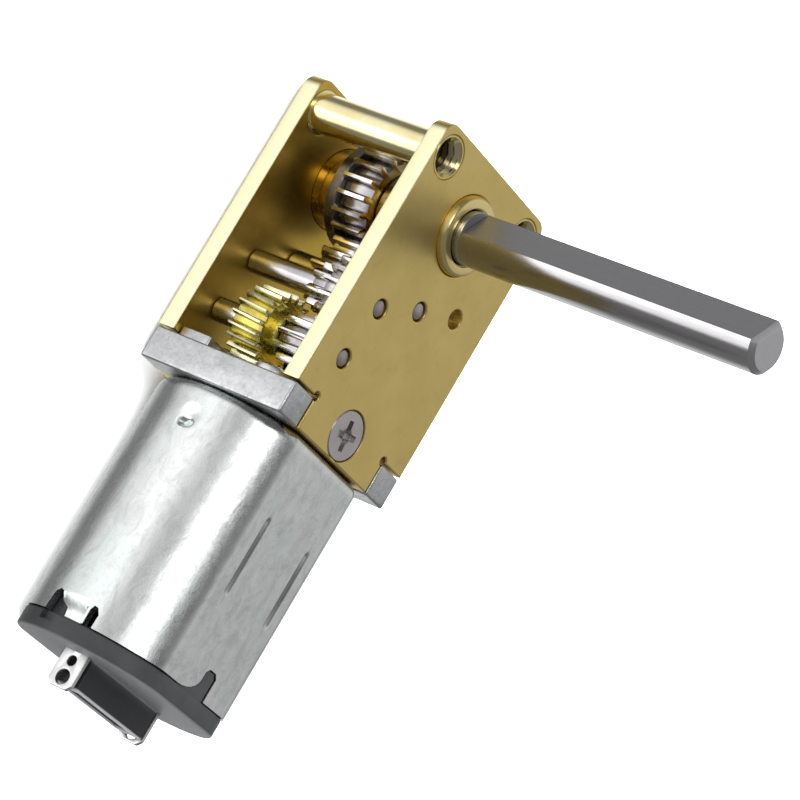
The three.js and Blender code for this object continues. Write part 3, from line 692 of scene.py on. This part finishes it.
def plate_screw(name, side, turn):
    """A countersunk cross-recessed screw, just below the plate's face."""
    centre = (0, SCREW_HEIGHT)
    face = OUTER - 0.03
    head = SCREW_HEAD - 0.02
    start, shank = 2.35, 0.76
    profile = [(0, start), (shank - 0.1, start), (shank, start + 0.1), (shank, face - 0.66),
               (head, face - 0.12), (head, face - 0.05), (head - 0.05, face), (0, face)]
    profile = facing(profile, side)
    thing = make_object(name + "_skin", turned(profile, centre, 64))
    wide = turn_plan(cross_outline(0.86, 0.17), turn, centre)
    ends = sorted((side * (face - 0.34), side * (face + 0.2)))
    combine(thing, plate(wide, [], *ends, bevel=0.03, steps=1))
    tip = [(0, face - 0.62), (0.18, face - 0.55), (0.5, face + 0.1), (0, face + 0.1)]
    combine(thing, turned(facing(tip, side), centre, 24))
    finish_piece(thing, SCREW_STEEL, "housing", "steel", name)


def motor_screw(node, centre):
    low, high = SCREW_BOXES[node]
    head = (high.x - low.x) / 2
    shank, dome = 0.6, 0.4
    seat, top = BASE_TOP + 0.02, high.y
    profile = [(0, low.y), (shank - 0.06, low.y), (shank, low.y + 0.08), (shank, seat), (head, seat),
               (head, top - dome)]
    for index in range(1, 5):
        turn = math.radians(18 * index)
        profile.append((head * math.cos(turn), top - dome + dome * math.sin(turn)))
    profile.append((0, top))
    thing = make_object(node + "_skin", along_y(turned(profile, centre, 48)))
    wide = turn_plan(cross_outline(0.72, 0.14), 25, centre)
    combine(thing, along_y(plate(wide, [], top - 0.32, top + 0.3, bevel=0.02, steps=1)))
    finish_piece(thing, TIN, "housing", "steel", node)


side_plate("front_plate", 1, [AXIS_A, AXIS_B, AXIS_C, SPARE_AXLE])
side_plate("back_plate", -1, [AXIS_A, AXIS_B, AXIS_C])
standoff("standoff_left", -1)
standoff("standoff_right", 1)
bush("front_bush", 1)
bush("back_bush", -1)
plate_screw("front_plate_screw", 1, 12)
plate_screw("back_plate_screw", -1, 50)
for node, centre in zip(SCREW_BOXES, SCREW_PLACES):
    motor_screw(node, centre)


# ---------- die-cast base ----------


def base_skin():
    depth = INNER - 0.05
    ear = HALF_WIDTH - EAR_WIDTH
    fillet = 0.12
    quarter = []
    quarter += arc((HALF_WIDTH - 0.18, OUTER - 0.18), 0.18, 0, 90, 4)
    quarter += arc((ear + 0.12, OUTER - 0.12), 0.12, 90, 180, 3)
    quarter += [(ear, depth + fillet), (ear - fillet, depth)]
    mirrored = [(-x, y) for x, y in reversed(quarter)]
    lower = [(-x, -y) for x, y in quarter + mirrored]
    outline = quarter + mirrored + lower
    holes = [circle(place, 0.7, 32) for place in SCREW_PLACES] + [circle((0, 0), 2.08, 56)]
    thing = make_object("gearbox_base_skin", along_y(plate(outline, holes, 0, BASE_TOP, 0.13, 4)))
    for side in (-1, 1):
        near, far = sorted((-side * 2.5, -side * depth))
        post = plate(rectangle(-1.9, 1.9, near, far, 0.1, 3), [], BASE_TOP - 0.4, 3.05, 0.1, 3)
        combine(thing, along_y(post), "UNION")
    pad = plate(rectangle(-5.5, -3.3, 1.75, depth, 0.15, 3), [], BASE_TOP - 0.3, 2.45, 0.08, 3)
    combine(thing, along_y(pad), "UNION")
    for side in (-1, 1):
        near, far = sorted((side * 2.2, side * 5))
        combine(thing, turned([(0, near), (0.8, near), (0.8, far), (0, far)], (0, SCREW_HEIGHT), 32))
    finish_piece(thing, ZINC, "housing", "zinc", "gearbox_base")


base_skin()


# ---------- output shaft, gears, axles ----------


def shaft_skin():
    """Round through the bushes, then flattened to the tip, with a small step where the flat starts."""
    flat_angle, flat_distance = math.radians(144.5), 1.0
    low, high = SHAFT_LOW.z, SHAFT_HIGH.z
    corner = math.acos(flat_distance / SHAFT_RADIUS)
    turns = [flat_angle - corner + 2 * corner * index / 24 for index in range(25)]
    rest = 2 * math.pi - 2 * corner
    turns += [flat_angle + corner + rest * index / 72 for index in range(1, 72)]

    def ring(z, radius, flatten):
        points = []
        for turn in turns:
            x, y = radius * math.cos(turn), radius * math.sin(turn)
            over = x * math.cos(flat_angle) + y * math.sin(flat_angle) - flatten
            if over > 0:
                x, y = x - over * math.cos(flat_angle), y - over * math.sin(flat_angle)
            points.append((AXIS_OUT.x + x, AXIS_OUT.y + y, z))
        return points

    full = SHAFT_RADIUS
    chamfer = 0.28
    rings = [ring(low, full - 0.2, full), ring(low + 0.2, full, full),
             ring(FLAT_START - 0.03, full, full + 0.01), ring(FLAT_START, full - 0.02, full),
             ring(FLAT_START + 0.06, full, flat_distance), ring(high - chamfer, full, flat_distance),
             ring(high - 0.05, full - chamfer + 0.05, flat_distance - 0.2),
             ring(high, full - chamfer, flat_distance - chamfer)]
    add_piece("output_shaft", loft(rings), shaft_material(), "output", "steel", sharp=26)


def involute(angle):
    return math.tan(angle) - angle


PRESSURE = math.radians(20)


def gear_outline(module, teeth, shift, addendum, tooth, thinning=0.035):
    """A spur gear's outline about the origin, with one tooth at the given angle in degrees."""
    pitch = module * teeth / 2
    base = pitch * math.cos(PRESSURE)
    tip = pitch + module * (addendum + shift)
    root = pitch - module * (1.2 - shift)
    at_pitch = (math.pi / 2 + 2 * shift * math.tan(PRESSURE)) / teeth - thinning / pitch

    def half(radius):
        used = max(radius, base)
        return at_pitch + involute(PRESSURE) - involute(math.acos(base / used))

    radii = [root] + ([base] if base > root + 0.02 else [])
    start = max(root, base)
    radii += [start + (tip - start) * share for share in (0.25, 0.5, 0.75, 1.0)]
    points = []
    for index in range(teeth):
        middle = math.radians(tooth) + 2 * math.pi * index / teeth
        flank = [(radius, half(radius)) for radius in radii]
        for radius, turn in [(r, -t) for r, t in flank] + [(r, t) for r, t in reversed(flank)]:
            points.append((radius * math.cos(middle + turn), radius * math.sin(middle + turn)))
    return points


def bearing(start, end):
    return math.degrees(math.atan2(end[1] - start[1], end[0] - start[0]))


def spur_gear(name, body, centre, bore, form):
    low, high = node_box(name)
    pitch = form["module"] * form["teeth"] / 2
    tip = pitch + form["module"] * (form["addendum"] + form["shift"])
    root = pitch - form["module"] * (1.2 - form["shift"])
    material = tooth_material(name + "_steel", GEAR_METAL, centre, root, tip, (0.12, 0.26), GEAR_ROOT_SHADE)
    points, faces = plate(gear_outline(**form), [circle((0, 0), bore, 32)], low.z, high.z, 0.035, 2)
    points = [(x + centre.x, y + centre.y, z) for x, y, z in points]
    add_piece(name, (points, faces), material, body, "steel", sharp=24)


GEAR_METAL = (0.93, 0.90, 0.92)
# The colour of the painted shade towards the gear teeth's roots.
GEAR_ROOT_SHADE = (0.30, 0.285, 0.285)
AXLE_BORE = 0.5
OUTPUT_BORE = SHAFT_RADIUS + 0.02
OUTPUT_TURN = -4
PINION = {"module": 0.25, "teeth": 9, "shift": 0.35, "addendum": 0.75}
WHEEL = {"module": 0.25, "teeth": 18, "shift": -0.35, "addendum": 0.9}
LAST_PINION = {"module": 0.3, "teeth": 11, "shift": 0.3, "addendum": 0.8}
LAST_WHEEL = {"module": 0.3, "teeth": 21, "shift": -0.3, "addendum": 0.9}
WORM_MODULE = 0.2
WORM_RADIUS = -AXIS_A.x - 2

shaft_skin()
spur_gear("output_gear", "output", AXIS_OUT, OUTPUT_BORE,
          {**LAST_WHEEL, "tooth": bearing(AXIS_OUT, AXIS_C) + OUTPUT_TURN})
spur_gear("pinion_c", "stage_c", AXIS_C, AXLE_BORE,
          {**LAST_PINION, "tooth": bearing(AXIS_C, AXIS_OUT) + (180 - OUTPUT_TURN * 21) / 11})
spur_gear("gear_c", "stage_c", AXIS_C, AXLE_BORE, {**WHEEL, "tooth": bearing(AXIS_C, AXIS_B)})
spur_gear("pinion_b", "stage_b", AXIS_B, AXLE_BORE, {**PINION, "tooth": bearing(AXIS_B, AXIS_C) + 20})
spur_gear("gear_b", "stage_b", AXIS_B, AXLE_BORE, {**WHEEL, "tooth": bearing(AXIS_B, AXIS_A)})
spur_gear("pinion_a", "stage_a", AXIS_A, AXLE_BORE, {**PINION, "tooth": bearing(AXIS_A, AXIS_B) + 20})


def worm_wheel():
    """Brass wheel whose teeth lean with the worm's thread, and its turned hub."""
    low, high = node_box("worm_wheel")
    layer_top = 0.65
    lean = WORM_MODULE / WORM_RADIUS / 4
    outline = gear_outline(WORM_MODULE, 20, 0, 0.85, 9, 0.03)
    points, faces = plate(outline, [circle((0, 0), AXLE_BORE, 32)], low.z, layer_top, 0.03, 2)
    leaning = []
    for x, y, z in points:
        cosine, sine = math.cos(z * lean), math.sin(z * lean)
        leaning.append((AXIS_A.x + x * cosine - y * sine, AXIS_A.y + x * sine + y * cosine, z))
    thing = make_object("worm_wheel_skin", (leaning, faces))
    hub = [(AXLE_BORE, layer_top - 0.3), (1.2, layer_top - 0.3), (1.2, high.z - 0.08),
           (1.12, high.z), (AXLE_BORE + 0.06, high.z), (AXLE_BORE, high.z - 0.06)]
    combine(thing, turned(hub, AXIS_A, 48, closed=True), "UNION")
    root, tip, gloss = 1.70, 2.17, (0.20, 0.34)
    # Pale brass crests, with olive painted shade towards the roots.
    brass = tooth_material("cut_brass", (0.97, 0.93, 0.60), AXIS_A, root, tip, gloss, (0.50, 0.43, 0.11))
    finish_piece(thing, brass, "stage_a", "brass", "worm_wheel", sharp=24)


def sleeve(name, body, centre, bore, material, slot):
    low, high = node_box(name)
    radius = (high.x - low.x) / 2
    edge = 0.06
    profile = [(bore, low.z + edge), (bore + edge, low.z), (radius - edge, low.z), (radius, low.z + edge),
               (radius, high.z - edge), (radius - edge, high.z), (bore + edge, high.z),
               (bore, high.z - edge)]
    add_piece(name, turned(profile, centre, 56, closed=True), material, body, slot)


def axle(name, body, centre):
    """A pin with a rounded rim and a small bright land at its end."""
    low, high = node_box(name)
    radius = (high.x - low.x) / 2
    end = [(0.0, 0.0), (0.26, 0.0), (0.29, -0.015), (radius - 0.12, -0.02),
           (radius - 0.04, -0.06), (radius, -0.16)]
    profile = [(r, low.z - drop) for r, drop in end] + [(r, high.z + drop) for r, drop in reversed(end)]
    add_piece(name, turned(profile, centre, 40), AXLE_STEEL, body, "steel")


worm_wheel()
for stage, centre in (("a", AXIS_A), ("b", AXIS_B), ("c", AXIS_C)):
    axle("axle_" + stage, "stage_" + stage, centre)
    sleeve("spacer_" + stage, "stage_" + stage, centre, AXLE_BORE, GEAR_STEEL, "steel")
sleeve("output_spacer_front", "output", AXIS_OUT, OUTPUT_BORE, TURNED_BRASS, "brass")


def output_flange():
    """The back spacer: a hub behind a wide flange that lies against the output gear."""
    low, high = node_box("output_spacer_back")
    bore, hub, wide, edge = OUTPUT_BORE, 2.1, (high.x - low.x) / 2, 0.06
    step = high.z - 0.67
    profile = [(bore, low.z + edge), (bore + edge, low.z), (hub - edge, low.z), (hub, low.z + edge),
               (hub, step), (wide - edge, step), (wide, step + edge), (wide, high.z - edge),
               (wide - edge, high.z), (bore, high.z)]
    add_piece("output_spacer_back", turned(profile, AXIS_OUT, 96, closed=True),
              FLANGE_STEEL, "output", "steel")


output_flange()


def worm_skin():
    """A right-hand thread about the motor's axis, in mesh with the wheel at rest."""
    low, high = node_box("worm")
    lead = math.pi * WORM_MODULE
    core, crest, bore = 1.3, WORM_RADIUS + 0.85 * WORM_MODULE, 0.52
    slope = math.tan(PRESSURE)
    half = lead / 4 - 0.03
    count, levels = 56, 110
    rings = []
    for level in range(levels + 1):
        y = low.y + (high.y - low.y) * level / levels
        fade = smoothstep(min(y - low.y, high.y - y), 0.05, 0.7)
        ring = []
        for index in range(count):
            turn = 2 * math.pi * index / count
            phase = ((y - AXIS_A.y) / lead - (turn + math.pi / 2) / (2 * math.pi) + 0.5) % 1.0 - 0.5
            ridge = WORM_RADIUS + (half - abs(phase) * lead) / slope
            radius = core + (min(max(ridge, core), crest) - core) * fade
            ring.append((radius * math.sin(turn), y, radius * math.cos(turn)))
        rings.append(ring)
    for y in (high.y, low.y):
        rings.append([(x, y, z) for z, x in circle((0, 0), bore, count)])
    add_piece("worm", loft(rings, closed=True), GEAR_STEEL, "rotor", "steel", sharp=24)


worm_skin()


# ---------- motor can, end cap, terminals ----------

NOTCH_TOP = -12.95
TERMINAL_OUT = 3.72

# (z, y) outlines of the two slots beside each crimped tongue, as cut through the can's curved side
WIDE_SLOT = [
    (-1.95, CAN_REAR - 1), (-0.62, CAN_REAR - 1), (-0.60, NOTCH_TOP - 0.75), (-1.0, NOTCH_TOP - 0.55),
    (-1.15, NOTCH_TOP - 0.1), (-1.42, NOTCH_TOP), (-1.72, NOTCH_TOP - 0.22), (-1.80, NOTCH_TOP - 0.7)]
NARROW_SLOT = [
    (1.0, CAN_REAR - 1), (1.5, CAN_REAR - 1), (1.55, NOTCH_TOP - 0.5), (1.34, NOTCH_TOP - 0.16),
    (1.1, NOTCH_TOP - 0.12), (0.98, NOTCH_TOP - 0.4)]


def can_section(back, flat_count=116, arc_count=100):
    """(x, z) points round the can: a circle with two flats, whose meeting edges are softened."""
    radius, flat = CAN_RADIUS - back, CAN_FLAT - back
    corner = math.asin(flat / radius)
    half = math.sqrt(radius ** 2 - flat ** 2)
    points = []
    for side in (1, -1):
        for index in range(flat_count):
            points.append((side * (-half + 2 * half * index / flat_count), side * flat))
        for index in range(arc_count):
            turn = corner - 2 * corner * index / arc_count
            points.append((side * radius * math.cos(turn), side * radius * math.sin(turn)))
    soft = []
    reach = 4
    for index in range(len(points)):
        near = [points[(index + step) % len(points)] for step in range(-reach, reach + 1)]
        soft.append((sum(p[0] for p in near) / len(near), sum(p[1] for p in near) / len(near)))
    return soft


def pressed(x, y, z):
    """How far the can's skin is pushed inward at a place, in millimetres."""
    depth = 0.0
    if abs(z) > 3.5:
        side = 1 if z > 0 else -1
        for place in GROOVES:
            across = abs(x * side - place)
            along = max(0.0, abs(y - GROOVE_MIDDLE) - GROOVE_HALF)
            away = math.hypot(across, along)
            depth += 0.09 * (1 - smoothstep(away, 0.08, 0.22))
    for side in (-1, 1):
        if x * side < 0:
            continue
        bowl = math.hypot(z / 0.85, (y + 1.95) / 0.8)
        depth += 0.13 * (1 - smoothstep(bowl, 0.0, 1.0))
        pit = math.hypot((z - 0.35 * (y + 2.4)) / 0.6, (y + 2.4) / 0.3)
        depth += 0.24 * (1 - smoothstep(pit, 0.35, 1.0))
        if y < NOTCH_TOP and abs(z - side * 0.2) < 0.95:
            depth += 0.45 * smoothstep(NOTCH_TOP - y, 0.0, 1.15)
    return depth


def can_skin():
    columns = can_section(0)
    angles = [math.atan2(z, x) for x, z in columns]

    def ring(points, y, push=False):
        made = []
        for x, z in points:
            if push:
                depth = pressed(x, y, z)
                length = math.hypot(x, z)
                flat_share = smoothstep(abs(z), CAN_FLAT - 0.02, CAN_FLAT)
                to_axis, to_flat = Vector((-x / length, -z / length)), Vector((0, -math.copysign(1, z)))
                inward = to_axis * (1 - flat_share) + to_flat * flat_share
                x, z = x + inward.x * depth, z + inward.y * depth
            made.append((x, y, z))
        return made

    def round_ring(radius, y):
        return [(radius * math.cos(turn), y, radius * math.sin(turn)) for turn in angles]

    rings = []
    shoulder = 0.7
    rows = 120
    for row in range(rows + 1):
        rings.append(ring(columns, CAN_REAR + (-shoulder - CAN_REAR) * row / rows, push=True))
    for step in range(1, 9):
        turn = math.radians(90 * step / 8)
        rings.append(ring(can_section(shoulder * (1 - math.cos(turn))), -shoulder * (1 - math.sin(turn))))
    collar, bore, collar_top = 2.0, 1.52, CAN_HIGH.y
    rings += [round_ring(collar + 0.1, 0), round_ring(collar, 0.08), round_ring(collar, collar_top - 0.1),
              round_ring(collar - 0.1, collar_top), round_ring(bore + 0.06, collar_top),
              round_ring(bore, collar_top - 0.06), round_ring(bore, -1.2), round_ring(collar, -1.2),
              round_ring(collar, -CAN_WALL)]
    rings.append(ring(can_section(shoulder), -CAN_WALL))
    for row in range(5):
        rings.append(ring(can_section(CAN_WALL), -1.0 + (NOTCH_TOP + 1.0) * row / 4))
    for row in range(1, 7):
        y = NOTCH_TOP + (CAN_REAR - NOTCH_TOP) * row / 6
        bent = []
        for x, z in can_section(CAN_WALL):
            push = pressed(x, y, z) if abs(z) < 1.2 and abs(x) > 4 else 0.0
            length = math.hypot(x, z)
            bent.append((x - x / length * push, z - z / length * push))
        rings.append(ring(bent, y))
    thing = make_object("motor_can_skin", loft(rings, closed=True))
    for side in (-1, 1):
        for outline in (WIDE_SLOT, NARROW_SLOT):
            points, faces = plate([(z * -side, y) for z, y in outline], [], 3.9, 6.6, 0.05, 1)
            combine(thing, ([(x * side, y, z) for z, y, x in points], faces))
    for side in (-1, 1):
        slot = [(x * side, y) for x, y in key_outline()]
        combine(thing, plate(slot, [], *sorted((side * 3.9, side * 5.6)), 0.02, 1))
    for place in SCREW_PLACES:
        combine(thing, along_y(turned([(0, -1.2), (0.66, -1.2), (0.66, 0.4), (0, 0.4)], place, 32)))
    finish_piece(thing, CAN, "housing", "plated_steel", "motor_can", sharp=38)


def key_outline(grow=0.0):
    """(x, y) outline of the keyed slot in a flat: narrow at its top, flaring to one side at the rim."""
    top, flare = -12.6 + grow, -13.3
    near, far = -0.1 - grow, 1.0 + grow
    points = [(far, CAN_REAR - 0.6), (far, top - 0.25), (0.75, top), (0.15, top), (near, top - 0.25)]
    for index in range(7):
        turn = math.radians(15 * index)
        points.append((near - 1.6 * (1 - math.cos(turn)), flare - 0.9 * math.sin(turn)))
    return points + [(near - 1.6, CAN_REAR - 0.6)]


def cap_skin():
    rim_top, rim_low = CAP_RIM_TOP, CAP_RIM_LOW
    plug_top = CAN_REAR + 1.3
    section = [(x, -z) for x, z in can_section(0.03, 30, 44)]
    thing = make_object("end_cap_skin", along_y(plate(section, [], rim_low, rim_top, 0.14, 4)))
    plug = [(x, -z) for x, z in can_section(CAN_WALL + 0.05, 30, 44)]
    hollow = [(x, -z) for x, z in can_section(CAN_WALL + 1.0, 30, 44)]
    combine(thing, along_y(plate(plug, [hollow], rim_top - 0.4, plug_top, 0.05, 2)), "UNION")
    boss_low, half_long, half_wide = CAP_LOW.y, 3.4, 0.95
    boss = rectangle(-half_long, half_long, -half_wide, half_wide, 0.12, 3)
    combine(thing, along_y(plate(boss, [], boss_low, rim_low + 0.5, 0.11, 3)), "UNION")
    for long, wide, depth in ((2.75, 0.62, 0.16), (2.2, 0.26, 0.5)):
        hollow = rectangle(-long, long, -wide, wide, 0.1, 3)
        combine(thing, along_y(plate(hollow, [], boss_low - 0.5, boss_low + depth, 0.03, 1)))
    for side in (-1, 1):
        # the gap behind the crimped tongue, and the recess below the wide slot
        for across, along, low in (((4.2, 6.2), (1.15, -0.75), 0.03), ((5.3, 6.4), (-0.9, -1.95), -0.55)):
            sides = [side * value for value in across], [side * value for value in along]
            cut = rectangle(*sorted(sides[0]), *sorted(sides[1]))
            combine(thing, along_y(plate(cut, [], rim_top + low, plug_top + 0.4, 0.02, 1)))
        lug = [(x * side, max(y, CAN_REAR - 0.3)) for x, y in key_outline(-0.05)]
        combine(thing, plate(lug, [], *sorted((side * 4.2, side * 4.92)), 0.04, 2), "UNION")
        middle = side * TERMINAL_OUT
        slit = rectangle(middle - 0.17, middle + 0.17, -0.9, 0.9)
        combine(thing, along_y(plate(slit, [], rim_low - 0.6, rim_top + 2, 0.01, 1)))
    finish_piece(thing, PLASTIC, "housing", "black_plastic", "end_cap")


def terminal(name):
    low, high = node_box(name)
    corner = 0.3
    outline = [(low.z + corner, low.y), (high.z - corner, low.y), (high.z, low.y + corner), (high.z, high.y),
               (low.z, high.y), (low.z, low.y + corner)]
    holes = [circle((0, -16.8), 0.42, 32), circle((0, -15.85), 0.28, 28)]
    flipped, *holes = [[(-z, y) for z, y in loop] for loop in (outline, *holes)]
    points, faces = plate(flipped, holes, low.x, high.x, 0.05, 3)
    add_piece(name, ([(x, y, -across) for across, y, x in points], faces), TIN, "housing", "tin_plate")


can_skin()
cap_skin()
terminal("terminal_left")
terminal("terminal_right")


# ---------- pieces kept as they are in the frame ----------

KEPT = (
    (MOTOR_SHAFT_STEEL, "motor_shaft"),
    (LAMINATED, "rotor_core"),
    (COIL, "winding_1", "winding_2", "winding_3"),
    (TURNED_BRASS, "commutator", "brush_front", "brush_back"),
    (BRONZE, "motor_bearing_front", "motor_bearing_rear"),
    (MAGNET, "magnet_left", "magnet_right"),
)
for material, *nodes in KEPT:
    for node in nodes:
        materials = frame["nodes"][node].data.materials
        materials.clear()
        materials.append(material)


# ---------- floor, light, camera ----------


def make_floor():
    form = bmesh.new()
    bmesh.ops.create_grid(form, x_segments=8, y_segments=8, size=3.0)
    mesh = bpy.data.meshes.new("floor")
    form.to_mesh(mesh)
    form.free()
    floor = bpy.data.objects.new("floor", mesh)
    floor.location = (0, 0, cad_bounds[0].z)
    surface = Surface("pale_floor", 0.0)
    grain = surface.noise(0.4, detail=4)
    surface.paint(surface.mix(surface.spread(grain, 0, 1), (0.86, 0.86, 0.86), (0.88, 0.88, 0.88)))
    surface.gloss(surface.spread(grain, 0.85, 0.95))
    floor.data.materials.append(surface.material)
    floor.visible_glossy = False
    bpy.context.scene.collection.objects.link(floor)


ROOM_LIGHT = 0.27


def make_world():
    """A dim studio with soft panels, each a direction, an inner and an outer half angle, and a strength."""
    world = bpy.data.worlds.new("studio")
    bpy.context.scene.world = world
    world.use_nodes = True
    tree = world.node_tree
    tree.nodes.clear()
    direction = add_node(tree, "TexCoord").outputs["Generated"]
    panels = [
        ((-0.745, 0.20, 0.637), 8, 17, 3.2),
        ((-0.734, -0.342, -0.587), 15, 25, 1.7),
        ((-0.785, 0.22, -0.587), 14, 42, 1.02),
        ((-0.96, 0.20, 0.06), 16, 46, 0.55),
        ((0.45, 0.67, -0.587), 8, 20, 1.0),
        ((0.50, 0.66, 0.60), 10, 56, 0.58),
        ((0.80, 0.05, -0.60), 14, 48, 0.75),
    ]
    total = None
    for aim, inner, outer, strength in panels:
        aimed = {0: direction, 1: Vector(aim).normalized()}
        dot = add_node(tree, "VectorMath", aimed, operation="DOT_PRODUCT")
        edge = add_node(tree, "MapRange", {
            "Value": dot.outputs["Value"],
            "From Min": math.cos(math.radians(outer)), "From Max": math.cos(math.radians(inner)),
            "To Min": ROOM_LIGHT if total is None else 0.0, "To Max": strength,
        }, interpolation_type="SMOOTHSTEP").outputs["Result"]
        total = edge if total is None else add_node(tree, "Math", {0: total, 1: edge}).outputs["Value"]
    background = add_node(tree, "Background", {"Strength": total})
    add_node(tree, "OutputWorld", {"Surface": background.outputs["Background"]})


def make_light(name, place):
    light = bpy.data.lights.new(name, "AREA")
    light.shape = "DISK"
    light.size = 0.6
    light.energy = 10.0
    thing = bpy.data.objects.new(name, light)
    thing.location = place
    thing.rotation_euler = (-Vector(place)).to_track_quat("-Z", "Y").to_euler()
    thing.visible_glossy = False
    bpy.context.scene.collection.objects.link(thing)


def make_camera():
    camera = bpy.data.cameras.new("camera")
    camera.lens = 189.73
    camera.sensor_width = 36
    camera.clip_start = 0.005
    camera.clip_end = 20
    thing = bpy.data.objects.new("camera", camera)
    right = Vector((0.43519, 0.49699, 0.75074)).normalized()
    forward = Vector((0.78458, 0.19966, -0.58699)).normalized()
    up = right.cross(forward)
    thing.matrix_world = Matrix((
        (right.x, up.x, -forward.x, -0.17266),
        (right.y, up.y, -forward.y, -0.05586),
        (right.z, up.z, -forward.z, 0.13098),
        (0, 0, 0, 1),
    ))
    bpy.context.scene.collection.objects.link(thing)
    bpy.context.scene.camera = thing


make_floor()
make_world()
for name, place in (("softbox_a", (-0.45, 0.35, 0.5)), ("softbox_b", (-0.45, -0.45, 0.5)),
                    ("softbox_c", (0.5, -0.35, 0.5)), ("softbox_d", (0.4, 0.45, 0.5))):
    make_light(name, place)
make_camera()
bpy.context.scene.view_settings.view_transform = "Standard"
